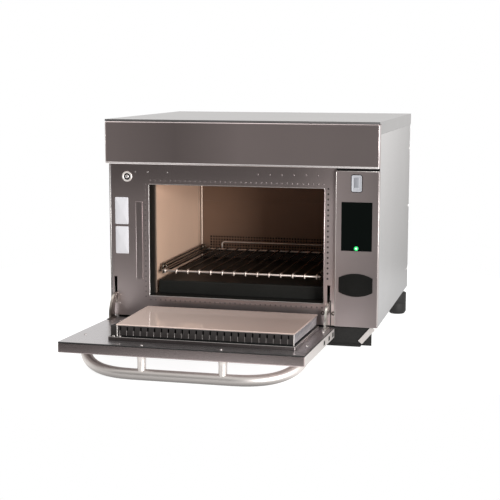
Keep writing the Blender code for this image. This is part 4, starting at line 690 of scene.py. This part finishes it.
quarter = np.linspace(0, np.pi / 2, 32)
sweep_x = -half_bar - (half_end - half_bar) * np.cos(quarter) ** sweep_power
sweep_y = door_front + (bar_y - door_front) * np.sin(quarter)
sweep_z = end_z + (bar_z - end_z) * (np.sin(quarter) + 1 - np.cos(quarter)) / 2
left_end = np.stack([sweep_x, sweep_y, sweep_z], 1)
lead_in = left_end[:1] - (left_end[1] - left_end[0]) * 5
left_end = np.concatenate([lead_in, left_end])
bar = np.concatenate([left_end, left_end[::-1] * (-1, 1, 1)]) + (handle_middle, 0, 0)
handle = tube(bar, handle_radius, 28, up=upward, bulge=0)
handle[..., 1] = np.minimum(handle[..., 1], door_front - 0.0002)
door_piece("handle_tube", [handle], "handle_steel", ["door_handle"])

post_middle, post_half_gap = door_middle + 0.0043, 0.0876
post_profile = [(0, 0), (10.8, 0), (10.8, 1.2), (9.9, 2.6), (9.3, 5), (9.1, 12), (9.1, 33.1), (0, 33.1)]
for name, side in (("handle_post_left", -1), ("handle_post_right", 1)):
    foot = (post_middle + side * post_half_gap, door_front - 0.0003, bar_z)
    post = turned(post_profile, foot, sides=24)
    door_piece(name + "_turned", [post], "handle_steel", [name])

# %% [markdown]
# ## The wire rack
# The rack is fourteen straight wires laid across two bars and spot-welded to them, with their
# front tips bent down to stop food. Each wire is a circle carried along a line with one rounded
# bend. A weld is a low bead where a wire crosses a bar. A raised wire at the back keeps food off
# the jets. The wires' finish is bright at the front tip and darkens from there backwards, while
# the bars stay bright.

# %% the rack
mouth_left, mouth_right, mouth_low, mouth_top = -0.2192, 0.1928, 0.119, 0.3796
mouth_middle = (mouth_left + mouth_right) / 2
wall_low, wall_high, _ = box_of("cavity_left_wall")
cavity_front, cavity_rear = wall_low[1], wall_high[1]
rack_front, rack_rear, rack_z = cavity_front + 0.0032, cavity_rear - 0.0062, mouth_low + 0.0528
wire_radius, bar_radius, rack_half = 0.0019, 0.0025, 0.1905
wire_count, wire_pitch, tip_drop, tip_bend = 14, 0.0281, 0.007, 0.0036

wire_x = mouth_middle + (np.arange(wire_count) - (wire_count - 1) / 2) * wire_pitch
wire_seat = bar_radius + wire_radius * 0.75
wire_top, tip = rack_z + wire_seat, rack_front - wire_seat
tip_low = wire_top - wire_radius - tip_drop
corners = [(0, rack_rear + bar_radius, wire_top), (0, tip, wire_top), (0, tip, tip_low)]
one_wire = tube(rounded(corners, tip_bend), wire_radius, 10, up=rightward)
wires = one_wire + wire_x[:, None, None, None] * np.array(rightward)
bars = [tube([(mouth_middle - rack_half, y, rack_z), (mouth_middle + rack_half, y, rack_z)], bar_radius, 14,
             up=upward) for y in (rack_front, rack_rear)]
bead_profile = [(0, -2.2), (2.2, -1.4), (2.9, 0), (2.2, 1.4), (0, 2.2)]
bead_places = [(x, y, rack_z + 0.0021) for x in wire_x for y in (rack_front, rack_rear)]
beads = turned(bead_profile, bead_places, upward, 8)
new_piece("rack_wires", [wires], "bright_tip_wire", ["oven_rack"], "rack")
new_piece("rack_bars", bars + [beads], "wire_steel", ["oven_rack"], "rack")

stop_half, stop_foot, stop_top = 0.14575, rack_z + bar_radius, rack_z + 0.0202
arch = rounded([(-stop_half, 0, stop_foot), (-stop_half, 0, stop_top),
                (stop_half, 0, stop_top), (stop_half, 0, stop_foot)], 0.009, 8) + (mouth_middle, rack_rear, 0)
new_piece("rack_stop_wire", [tube(arch, wire_radius)], "wire_steel", ["rack_back_stop"],
          "rack")

# %% [markdown]
# ## The rails
# The rack slides on wire rails that stand on studs in the side walls. One thick wire carries it and
# two thin ones guide it, and a small ring at each end catches the wires. All of it is one welded
# piece, so its tubes go into one mesh.

# %% the rack rails
carrier_radius, guide_radius, post_radius, stud_radius, ring_radius = 0.0024, 0.0018, 0.0026, 0.0017, 0.0055
guide_rises = (0.003, 0.0105)
rail_z = rack_z - bar_radius - 0.0003 - carrier_radius
rail_front, rail_rear = cavity_front + 0.0018, cavity_rear - 0.0028
around = np.linspace(0, 2 * np.pi, 21)
for name, wall, side in (("rack_rail_left", mouth_left, 1), ("rack_rail_right", mouth_right, -1)):
    carrier, guide, loop = wall + side * 0.0177, wall + side * 0.0095, wall + side * 0.0125
    parts = [tube([(carrier, rail_front, rail_z), (carrier, rail_rear, rail_z)], carrier_radius, 14, upward)]
    for rise in guide_rises:
        ends = [(guide, rail_front + 0.0224, rack_z + rise), (guide, rail_rear, rack_z + rise)]
        parts.append(tube(ends, guide_radius, up=upward))
    for y in (rail_front + 0.026, rail_rear - 0.013):
        parts.append(tube([(wall + side * 0.0003, y, rail_z), (carrier, y, rail_z)], stud_radius, 10, upward))
        parts.append(tube([(guide, y, rail_z), (guide, y, rack_z + guide_rises[1])], post_radius))
        ring = np.stack([loop + ring_radius * np.cos(around), 0 * around + y,
                         rack_z + ring_radius + ring_radius * np.sin(around)], 1)
        parts.append(tube(ring, guide_radius, 10))
    new_piece(name + "_wires", parts, "rail_steel", [name])

# %% [markdown]
# ## The back wall
# Hot air is blown at the food through a field of small holes in the back wall, and goes back to the
# fan through slots under the ceiling. Some three hundred holes would be slow to cut with booleans,
# so the wall is drawn with its holes in it: each cell of the field runs from its square edge in to
# the hole, through the sheet and back out. The plain margin is the field's outline scaled out to
# the edge of the sheet.

# %% the perforated back wall
def perforated(spans, middle, pitch, count, hole, corner, front, depth):
    """A ring of cells' edges and holes on four levels, and a ring of margin on the same levels."""
    starts = [centre - number * step / 2 for centre, number, step in zip(middle, count, pitch)]
    lines = [start + np.arange(number + 1) * step for start, number, step in zip(starts, count, pitch)]
    centres = np.stack(np.meshgrid(*[line[:-1] + step / 2 for line, step in zip(lines, pitch)]), -1)
    rim, edge = round_corners(*pitch, 0), round_corners(*hole, corner)
    cells = centres.reshape(-1, 1, 1, 2) + np.stack([rim, edge, edge, rim])
    x, z = lines
    sides = ((x[:-1], z[:1]), (x[-1:], z[:-1]), (x[:0:-1], z[-1:]), (x[:1], z[:0:-1]))
    outline = np.concatenate([np.stack(np.broadcast_arrays(*side), 1) for side in sides])
    spans = np.array(spans)
    scaled_out = spans[:, 0] + (outline - outline.min(0)) / np.ptp(outline, axis=0) * np.ptp(spans, axis=1)
    margin = np.stack([outline, scaled_out, scaled_out, outline])[None]
    level = np.array([front, front, front + depth, front + depth])[None, :, None]
    return [np.stack([flat[..., 0], np.broadcast_to(level, flat.shape[:3]), flat[..., 1]], -1)
            for flat in (cells, margin)]


wall_low, wall_high, _ = box_of("cavity_back_wall")
seam_z, seam_half = 0.3, 0.00005
wall_x = (wall_low[0], wall_high[0])
wall_depth = wall_high[1] - wall_low[1]
jet_pitch, jet_width, jet_z = 0.0074, 0.005, 0.186
intake_z, intake_pitch, intake_bridge = 0.3576, 0.015, 0.004
intake_width, intake_height = 0.006, 0.024
jets = perforated([wall_x, (wall_low[2], seam_z - seam_half)], (mouth_middle, jet_z), (jet_pitch, jet_pitch),
                  (49, 6), (jet_width, jet_width), jet_width / 2, wall_low[1], wall_depth)
intake = perforated([wall_x, (seam_z + seam_half, wall_high[2])], (mouth_middle, intake_z),
                    (intake_pitch, intake_height + intake_bridge), (22, 1), (intake_width, intake_height),
                    intake_width / 2, wall_low[1], wall_depth)
new_piece("back_wall_sheet", jets + intake, "oven_back", ["cavity_back_wall"])

# %% [markdown]
# ## The door's rim and its choke
# A black rubber seal is trapped between the door's skin and its inner panel and shows as a thin
# line all round. The choke is a slotted steel fence that stops microwaves at the gap. Each of its
# slots has one folded edge, a pale strip of painted highlight, and the fence stands on a wider
# base plate.
# The real cover narrows a little towards its free side, so its outline is narrowed by a formula.

# %% the seal, the base plate and the cover
seal_centre = (door_middle, (door_top + door_heel) / 2)
seal_path = hoop((door_right - door_left - 0.0012, door_top - door_heel - 0.0012), 0.002, seal_centre,
                 door_inner - 0.0014)
door_piece("door_seal_bead", [tube(seal_path, 0.0012, 8)], "black_rubber", ["door_seal"])

choke_left, choke_right, choke_low, choke_top = -0.214, 0.1876, 0.0467, 0.2969
choke_middle = np.array(((choke_left + choke_right) / 2, 0, (choke_low + choke_top) / 2))
choke_size = np.array((choke_right - choke_left, choke_top - choke_low))
cover_y, cover_narrowing = door_inner + 0.0327, 0.034


def narrowed(points):
    """x' = right - (right - x) * (1 - narrowing * t), t from 0 at the hinge side to 1 at the free side."""
    along = np.clip((points[..., 2] - choke_low) / (choke_top - choke_low), 0, 1)
    out = points.copy()
    out[..., 0] = choke_right - (choke_right - points[..., 0]) * (1 - cover_narrowing * along)
    return out


base = plaque(choke_size + 0.006, 0.003, [(0, 0.3), (0, 6.8), (0.6, 7.4)],
              choke_middle + (0, door_inner, 0), up=downward)
base_rim = tube(hoop(choke_size + 0.0052, 0.003, choke_middle, door_inner + 0.0072), 0.0006, 6)
cover = plaque(choke_size, 0.002, [(0.6, 0), (0, 0.6), (0, 1.5), (0.6, 2.1)],
               choke_middle + (0, cover_y, 0), up=downward)
cover_rim = tube(hoop(choke_size - 0.0004, 0.002, choke_middle, cover_y - 0.0005), 0.0006, 8)
# A black band in the gap at the fence's foot is a painted shadow.
shadow_gap = plaque(choke_size - 0.004, 0.002, [(1, -8), (0, -7.8), (0, -1.8), (1, -1.6)],
                    choke_middle, up=downward)
door_piece("choke_base_sheet", [base], "base_steel", ["choke_base_plate"])
door_piece("choke_base_rim", [base_rim], "lip_steel")
door_piece("choke_cover_sheet", [narrowed(cover)], "choke_polymer", ["choke_cover"])
door_piece("choke_cover_rim", [narrowed(cover_rim)], "lip_steel")

# %% the slotted fence with its folded edges
slot_pitch, slot_size, slot_y = 0.0152, (0.0034, 0.0086), 0.0126
sheet_y, sheet_depth = (-0.009, 0.0184), 0.0016
fence_inset, corner_gap = 0.0022, 0.00005
fence_x = (choke_left + fence_inset, choke_right - fence_inset)
fence_z = (choke_low + fence_inset, choke_top - fence_inset)
side_span = (fence_z[0] + sheet_depth + corner_gap, fence_z[1] - sheet_depth - corner_gap)
fold_y, fold_shift = 0.0034, 0.002
front_middle, side_middle = choke_middle[0] + 0.0055, choke_middle[2]
fences = (("sheets", "fence_steel", [0, 2, 1], fence_x, fence_z, front_middle, 25, ["choke_fence"]),
          ("sides", "fence_side_steel_painted_light", [1, 2, 0], side_span, fence_x, side_middle, 15, ()))
folds = []
for name, look, order, span, ends, middle, number, stands_for in fences:
    along, sheets = order.index(0), []
    for level in (ends[0], ends[1] - sheet_depth):
        sheet = perforated([span, sheet_y], (middle, slot_y), (slot_pitch, 0.01), (number, 1), slot_size,
                           0.001, level, sheet_depth)
        sheets += [grid[..., order] for grid in sheet]
    door_piece("choke_fence_" + name, sheets, look, stands_for)
    for end, out in zip(ends, (-1, 1)):
        facing = out if along == 0 else -out
        fold = plaque((0.001, 0.0104), 0, [(0, -0.2), (0, 0.5), (0.2, 0.7)], (0, 0, 0),
                      np.eye(3)[along], (0, facing, 0), steps=1)
        places = np.zeros((number, 3))
        places[:, along] = middle - fold_shift + (np.arange(number) - (number - 1) / 2) * slot_pitch
        places[:, 1], places[:, 2 - along] = fold_y, end
        folds.append(fold + places[:, None, None])
door_piece("choke_folds", folds, "fold_highlight_steel")

# %% the choke's posts and feet, the door's side plate and its screws
post_places = [(choke_left + 0.0164, -0.0046, choke_top - 0.0012),
               (choke_right - 0.002, -0.0046, choke_top - 0.002)]
posts = turned([(0, 0), (1.5, 0), (1.5, 23.6), (0, 23.6)], post_places, backward, 12)
bump = [(0, -2.6), (3, -2.6), (4, -1.2), (4, 0.4), (2.8, 1.8), (0, 2.2)]
feet_x = (-0.2052, -0.191)
feet = turned(bump, [(x, -0.0044, choke_top - 0.0019) for x in feet_x], backward)
door_piece("choke_corner_feet", [feet], "lip_steel")
door_piece("choke_corner_posts", [posts], "lip_steel")
door_piece("choke_gap_shadow_band", [shadow_gap], "deep_black")

side_plate = plaque((door_top - door_heel - 0.004, 0.0214), 0.001, [(0, -0.3), (0, 0.1), (0.2, 0.3)],
                    (door_right, (door_front + door_inner) / 2 - 0.0002, seal_centre[1]), downward, backward)
vent_heights = (0.1342, 0.076, 0.029)
vents = [plaque((0.015, 0.01), 0.0012, [(0, -0.4), (0, 0.3), (0.4, 0.6), (0.8, 0.4)],
                (door_right, -0.0262, z), downward, backward, 3) for z in vent_heights]
panel_screws = [(-0.2866, 0.2515), (-0.1291, 0.3352), (0.0425, 0.3352), (0.2029, 0.2442), (-0.2991, 0.076),
                (0.2059, 0.076)]
heads = screws([(x, door_inner - 0.0007, z) for x, z in panel_screws], backward, 3.3)
door_piece("door_side_plate", [side_plate], "pale_sheet")
door_piece("door_side_vents", vents, "deep_black")
door_piece("door_panel_screws", [heads], "lip_steel")

# %% [markdown]
# ## The folded and hemmed edges
# Sheet steel is folded back at its edges, so each edge is a small round that mirrors a thin bright
# line. The CAD model has the folds. These pieces add the hems that the photograph shows brightest:
# the hood's lower edge, the casing's left flange, the control column's edges and the lip round
# the mouth of the cavity. Each is a round bar or a low plaque, half sunk in the edge it finishes.
# The hood's hems are a lighter steel than the hood, which is painted highlight.

# %% hems on the hood, the column and the casing
hood_low, hood_high, hood_middle = box_of("hood_front")
column_low, column_high, column_middle = box_of("control_panel")
casing_low = box_of("left_side_panel")[0]
frame_front = box_of("front_frame")[0][1]
hem_radius, hem_y = 0.0011, column_low[1] + 0.0009

hood_hem = plaque((hood_high[0] - hood_low[0] - 0.002, 0.0042), 0.0012,
                  [(0, -1.2), (0, 0.1), (0.6, 0.6), (1.4, 0.8)],
                  (hood_middle[0], hood_low[1], hood_low[2] + 0.0022))
hood_side = [(hood_high[0] - 0.0013, hood_low[1] + 0.0009, hood_low[2] + 0.003),
             (hood_high[0] - 0.0009, hood_low[1] + 0.0009, hood_high[2] - 0.003)]
column_edge = rounded([(column_low[0] + 0.0009, hem_y, column_low[2] + 0.003),
                       (column_low[0] + 0.0009, hem_y, column_high[2] - 0.0009),
                       (column_high[0] - 0.0015, hem_y, column_high[2] - 0.0009)], 0.002)
column_side = [(column_high[0] - 0.0011, column_low[1] + 0.0011, column_low[2] + 0.003),
               (column_high[0] - 0.0011, column_low[1] + 0.0011, column_high[2] - 0.002)]
flange = [(casing_low[0] + 0.0025, frame_front + 0.001, casing_low[2] + 0.004),
          (casing_low[0] + 0.0025, frame_front + 0.001, hood_low[2] - 0.001)]
new_piece("hood_hems", [hood_hem, tube(hood_side, hem_radius, 10)], "hem_highlight_steel")
new_piece("column_hems", [tube(column_edge, hem_radius, 10), tube(column_side, 0.0013, 10),
                          tube(np.array(hood_side) * (-1, 1, 1), 0.0008, 10)], "lip_steel")
new_piece("casing_flange_roll", [tube(flange, 0.0022)], "flange_steel")

# %% painted shadows in two gaps, the lid's skirt and the lip of the mouth
# A black strip on the frame at the right hinge arm's slot is a painted shadow.
arm_slot_shadow = plaque((0.0022, 0.066), 0.0004, [(0, -0.2), (0, 0.1), (0.2, 0.2)],
                   (0.2105, frame_front, 0.0935))
# A black strip in the gap between the hood and the control column is a painted shadow.
gap_height = hood_low[2] - column_high[2] + 0.002
gap_shadow_strip = plaque((column_high[0] - column_low[0] - 0.002, gap_height), 0.0004,
                   [(0, -6), (0, -0.4), (0.3, 0)],
                   (column_middle[0], column_low[1] + 0.0035, (hood_low[2] + column_high[2]) / 2))
new_piece("arm_slot_shadow_strip", [arm_slot_shadow], "deep_black")
new_piece("column_gap_shadow_strip", [gap_shadow_strip], "deep_black")

lid_low, lid_high, _ = box_of("top_cover")
skirt_x, skirt_z = lid_high[0] - 0.0009, lid_low[2] + 0.0001
skirt_y = (lid_low[1] + 0.001, lid_high[1] - 0.001)
seams = [tube([(side * skirt_x, y, skirt_z) for y in skirt_y], 0.0006, 8, upward) for side in (-1, 1)]
# The rolls take a far lighter steel than the lid: a painted highlight along the skirt's lower edge.
rolls = [tube([(side * (skirt_x - 0.0006), y, skirt_z + 0.0013) for y in skirt_y], 0.0009, 8, upward)
         for side in (-1, 1)]
new_piece("lid_skirt_seams", seams, "deep_black")
new_piece("lid_skirt_rolls", rolls, "edge_steel")

mouth_size = np.array((mouth_right - mouth_left, mouth_top - mouth_low))
mouth_centre = np.array((mouth_middle, (mouth_low + mouth_top) / 2))
lip_path = hoop(mouth_size + 0.0024, 0.003, mouth_centre, frame_front + 0.0001, 6)[:-1]
# The path is opened at its long rise on the right, because that side has a darker finish of its own: painted
# shade that tones down the lip's highlight there.
rise = abs(np.roll(lip_path, -1, axis=0) - lip_path)[:, 2] * (lip_path[:, 0] > mouth_middle)
lip_path = np.roll(lip_path, -np.argmax(rise) - 1, axis=0)
new_piece("mouth_lip", [tube(lip_path, 0.0012, 10)], "lip_steel")
new_piece("mouth_lip_right", [tube(lip_path[[-1, 0]], 0.0012, 10)], "strip_steel")

# %% [markdown]
# ## The corners of the cavity
# The cavity is folded from sheet, so its upright rear corners are rounded, and the rounds show as
# two thin bright lines. A corner here is a thin band: an arc, given a wall and carried upwards. A
# narrow flange closes each side wall in front.

# %% corner bands and front flanges
def band(centre, radius, wall, start, end, low, high, steps=10):
    """Centre + r * (cos a, sin a) for the outer arc and back along the inner, carried from low to high."""
    angle = np.radians(np.linspace(start, end, steps))
    radii = np.concatenate([np.full(steps, radius), np.full(steps, radius - wall)])
    angle = np.concatenate([angle, angle[::-1]])
    section = np.stack([centre[0] + radii * np.cos(angle), centre[1] + radii * np.sin(angle)], 1)
    middle = np.broadcast_to(section.mean(0), section.shape)
    rows = zip((middle, section, section, middle), (low, low, high, high))
    return np.stack([np.column_stack([flat, np.full(len(flat), z)]) for flat, z in rows])


bend, line_y, corner_low, corner_high = 0.006, 0.2885, mouth_low + 0.0315, mouth_top - 0.0004
corners = []
for wall, side, start in ((mouth_left, 1, 90), (mouth_right, -1, 0)):
    centre = (wall + side * bend, cavity_rear - bend)
    corners.append(band(centre, bend, 0.0008, start, start + 90, corner_low, corner_high))
    corners.append(plaque((0.003, mouth_size[1] - 0.001), 0.0005, [(0, -1.2), (0, 0.2), (0.3, 0.5)],
                          (wall + side * 0.0016, cavity_front - 0.0006, mouth_centre[1])))
    line_x = wall + side * 0.0004
    corners.append(tube([(line_x, line_y, corner_low + 0.0005), (line_x, line_y, corner_high)], 0.0006, 8))
new_piece("cavity_corners", corners, "corner_steel")

# %% [markdown]
# ## Spot welds, rivets and labels on the frame
# The sleeve in the mouth is spot-welded to the frame, and each weld leaves a small dark dimple,
# 12 mm from the next. A dimple is a shallow dish turned from a profile and laid down once for each
# weld. The two labels stay blank: white film with rounded corners, a third of a millimetre thick.

# %% spot welds, rivets and washers
def on_frame(*places):
    """Places on the face of the frame, from pairs of x and z."""
    return [(x, frame_front, z) for x, z in places]


weld_pitch, weld_margin, rivet_z = 0.012, 0.0098, 0.4085
weld_x = mouth_middle + (np.arange(35) - 17) * weld_pitch
weld_z = mouth_low - 0.003 + np.arange(23) * weld_pitch
top_weld_x, lowest_strong = 0.04 + np.arange(6) * 0.0276, 5
faint = [(x, z) for z in (mouth_low - weld_margin, mouth_top + weld_margin) for x in weld_x]
faint += [(mouth_left - weld_margin, z) for z in weld_z]
faint += [(x, rivet_z) for x in top_weld_x]
strong = [(mouth_right + weld_margin, z) for z in weld_z[lowest_strong:]]
dish = [(2.3, -0.2), (2.3, 0.1), (1.8, 0.3), (1.1, 0.2), (0, 0.1)]
rivet = [(0, -0.3), (1.6, -0.3), (1.6, 0.2), (1.1, 0.5), (0, 0.6)]
rivets = on_frame((-0.2524, rivet_z), (-0.2229, rivet_z), (-0.1743, rivet_z), (-0.2948, 0.097))
washer = [(2, 0.2), (2, 1.2), (4.2, 1.2), (4.8, 0.6), (4.8, -0.2), (2, -0.2), (2, 0.2)]
washers = on_frame((0.1925, 0.097), (0.2168, 0.097))
new_piece("frame_weld_marks", [turned(dish, on_frame(*faint), sides=10)], "weld_faint")
new_piece("frame_weld_marks_right", [turned(dish, on_frame(*strong), sides=10)], "weld_steel")
new_piece("frame_rivets", [turned(rivet, rivets, sides=12)], "lip_steel")
new_piece("frame_washers", [turned(washer, washers)], "rail_steel")

# %% the embossed strip and the two blank labels
strip = plaque((0.0171, 0.184), 0.0012, [(0, -0.1), (0, 0.3), (0.3, 0.9), (0.8, 0.9), (1.6, 0.2)],
               (-0.24465, frame_front, 0.248))
label_levels = [(0, -0.1), (0, 0.2), (0.2, 0.3)]
labels = [plaque((0.0326, 0.0631), 0.002, label_levels, (-0.2869, frame_front, 0.317)),
          plaque((0.032, 0.064), 0.002, label_levels, (-0.2867, frame_front, 0.248))]
new_piece("frame_strip", [strip], "strip_steel")
new_piece("frame_labels", labels, "label_film")

# %% [markdown]
# ## The port's flap, the latch and the lit key
# The flap over the service port is moulded, with a raised rim and a notch for a fingertip. The
# latch is a turned ring with a pin that the shut door presses. The display shows one lit key: a
# soft disc of light just proud of the glass, green with a white heart.

# %% the port's flap
flap_low, flap_high, flap_middle = box_of("port_cover")
flap_size, flap_depth = (flap_high - flap_low)[[0, 2]], (flap_high[1] - flap_low[1]) / mm
flap_face = (flap_middle[0], flap_low[1], flap_middle[2])
flap = plaque(flap_size, 0.0035, [(0.4, -flap_depth), (0, 0.4 - flap_depth), (0, -0.5), (0.5, 0), (3, 0),
                                  (4.4, -0.9), (5, -0.9)], flap_face)
notch = plaque((0.012, 0.0042), 0.002, [(0, -1), (0, 0), (0.8, 0.3), (1.4, 0.1)],
               (flap_middle[0], flap_low[1], flap_low[2] + 0.0072))
field = plaque(flap_size - 0.0104, 0.002, [(0, -1.4), (0, -0.7), (0.4, -0.5)], flap_face)
# The black ring round the flap is a painted shadow.
surround = plaque(flap_size + 0.0028, 0.0046, [(0, -0.4), (0, 0.3), (0.4, 0.5)],
                  (flap_middle[0] + 0.0002, column_low[1], flap_middle[2]))
new_piece("port_shadow_ring", [surround], "deep_black")
new_piece("port_flap_field", [field], "field_plastic", body="port_flap")
new_piece("port_flap_moulding", [flap, notch], "grey_plastic", ["port_cover"], "port_flap")

# %% the latch
latch_place = (-0.2729, frame_front, 0.3974)
collar = [(7.9, -2), (7.9, 1.2), (8.6, 1.7), (11.4, 1.7), (12.2, 1), (12.5, -2), (7.9, -2)]
well = [(4.9, -0.4), (4.9, 0.4), (8.1, 0.4), (8.1, -0.4), (4.9, -0.4)]
button = [(0, 2.4), (2.8, 2.4), (4, 1.9), (4.5, 1), (4.5, -20), (0, -20)]
new_piece("latch_bushing_ring", [turned(collar, latch_place, sides=36)], "ring_steel",
          ["switch_bushing"])
new_piece("latch_bushing_well", [turned(well, latch_place, sides=32)], "deep_black")
new_piece("latch_plunger_pin", [turned(button, latch_place, sides=24)], "edge_steel",
          ["switch_plunger"], "plunger")

# %% the lit key
key = turned([(0, -0.2), (5, -0.2), (5, 0.1), (4.5, 0.3), (0, 0.3)],
             (key_x, box_of("display_glass")[0][1], key_z), sides=28)
new_piece("display_key", [key], "key_light")

# %% [markdown]
# ## Pieces softened from the CAD model
# The hinge arms and the badge have the right outline in the CAD model, but their edges are
# knife-sharp. A copy of such a solid is merged, its flat triangles are joined to whole faces, and a
# Bevel modifier then rounds every edge that is sharper than 30 degrees.

# %% rounded hinge arms and badge
def softened(node, radius, look, body="door", merge=0.00002, sharp=30):
    """Copy a CAD solid, join its flat triangles into faces and round its sharp edges."""
    mesh = nodes[node].data.copy()
    shape = bmesh.new()
    shape.from_mesh(mesh)
    bmesh.ops.remove_doubles(shape, verts=shape.verts, dist=merge)
    bmesh.ops.dissolve_limit(shape, angle_limit=math.radians(1), verts=shape.verts, edges=shape.edges)
    shape.to_mesh(mesh)
    shape.free()
    piece = settled(node + "_softened", mesh, look, [node], body, merge, sharp)
    bevel = piece.modifiers.new("edges", "BEVEL")
    bevel.width = radius
    bevel.segments = 3
    bevel.limit_method = "ANGLE"
    bevel.angle_limit = math.radians(sharp)
    bevel.use_clamp_overlap = True
    bevel.harden_normals = True


# The left arm takes the darker copy of the arm steel, which is painted shade.
softened("hinge_arm_left", 0.0009, "left_arm_painted_shade_steel")
softened("hinge_arm_right", 0.0009, "arm_steel")
softened("badge_plate", 0.0007, "badge_black", "oven_body")

# %% [markdown]
# ## The filter's mesh
# The air filter under the frame has a fine black mesh behind its slots, so no daylight shows
# through them. The mesh is one thin sheet inside the thickness of the filter's frame. A pale cap is
# pressed over each of its slanted ends.

# %% the filter's mesh and end caps
filter_low, filter_high, filter_middle = box_of("air_filter")
mesh_sheet = plaque((filter_high - filter_low)[[0, 2]] - (0.01, 0.006), 0.001, [(0, -0.3), (0, 0.3)],
                    filter_middle)
new_piece("air_filter_mesh", [mesh_sheet], "filter_mesh")
cap_size, cap_x, cap_z = (0.0452, 0.0116), 0.293, 0.05
slant_x, slant_z = 0.651, 0.759
caps = [plaque(cap_size, 0.001, [(0, 0), (0, 0.5), (0.3, 0.8)], (side * cap_x, filter_low[1], cap_z),
               (side * slant_x, 0, slant_z), (-slant_z, 0, side * slant_x)) for side in (-1, 1)]
new_piece("filter_end_caps", caps, "pale_sheet")

# %% [markdown]
# ## Feet, and the fixings of the casing
# The feet are turned rubber with soft shoulders. Pan-head screws hold the lid, the sides and the
# back, and they are laid out by the boxes of the sheets they hold.

# %% rubber feet
foot_profile = [(0, 68.7), (14, 68.7), (14, 59), (15, 56.8), (21.6, 56.6), (22.9, 56), (23.5, 54.6),
                (23.5, 30), (23, 29.2), (23.5, 28.4), (23.5, 7.5), (23.1, 6), (19.7, 0.8), (18.5, 0), (0, 0)]
for node in ("foot_front_left", "foot_front_right", "foot_rear_left", "foot_rear_right"):
    foot = turned(foot_profile, box_of(node)[2] * (1, 1, 0), upward, 36)
    new_piece(node + "_rubber", [foot], "black_rubber", [node])

# %% screws of the casing
back_low, back_high, _ = box_of("back_panel")
back_x = (back_low[0] + 0.016, 0, back_high[0] - 0.016)
back_y, side_x, lid_z = back_high[1] - 0.0016, lid_high[0] - 0.00235, 0.5115
side_screws = ((hood_low[1] + 0.03, lid_z), (0.169, lid_z), (0.42, lid_z), (0.43, 0.441), (0.43, 0.289),
               (0.43, 0.119))
heads = [screws([(x, back_y, z) for x in back_x for z in (0.085, 0.25, 0.42)], backward, 4)]
for side in (-1, 1):
    heads.append(screws([(side * side_x, y, z) for y, z in side_screws], (side, 0, 0), 3.6))
new_piece("casing_screws", heads, "edge_steel")
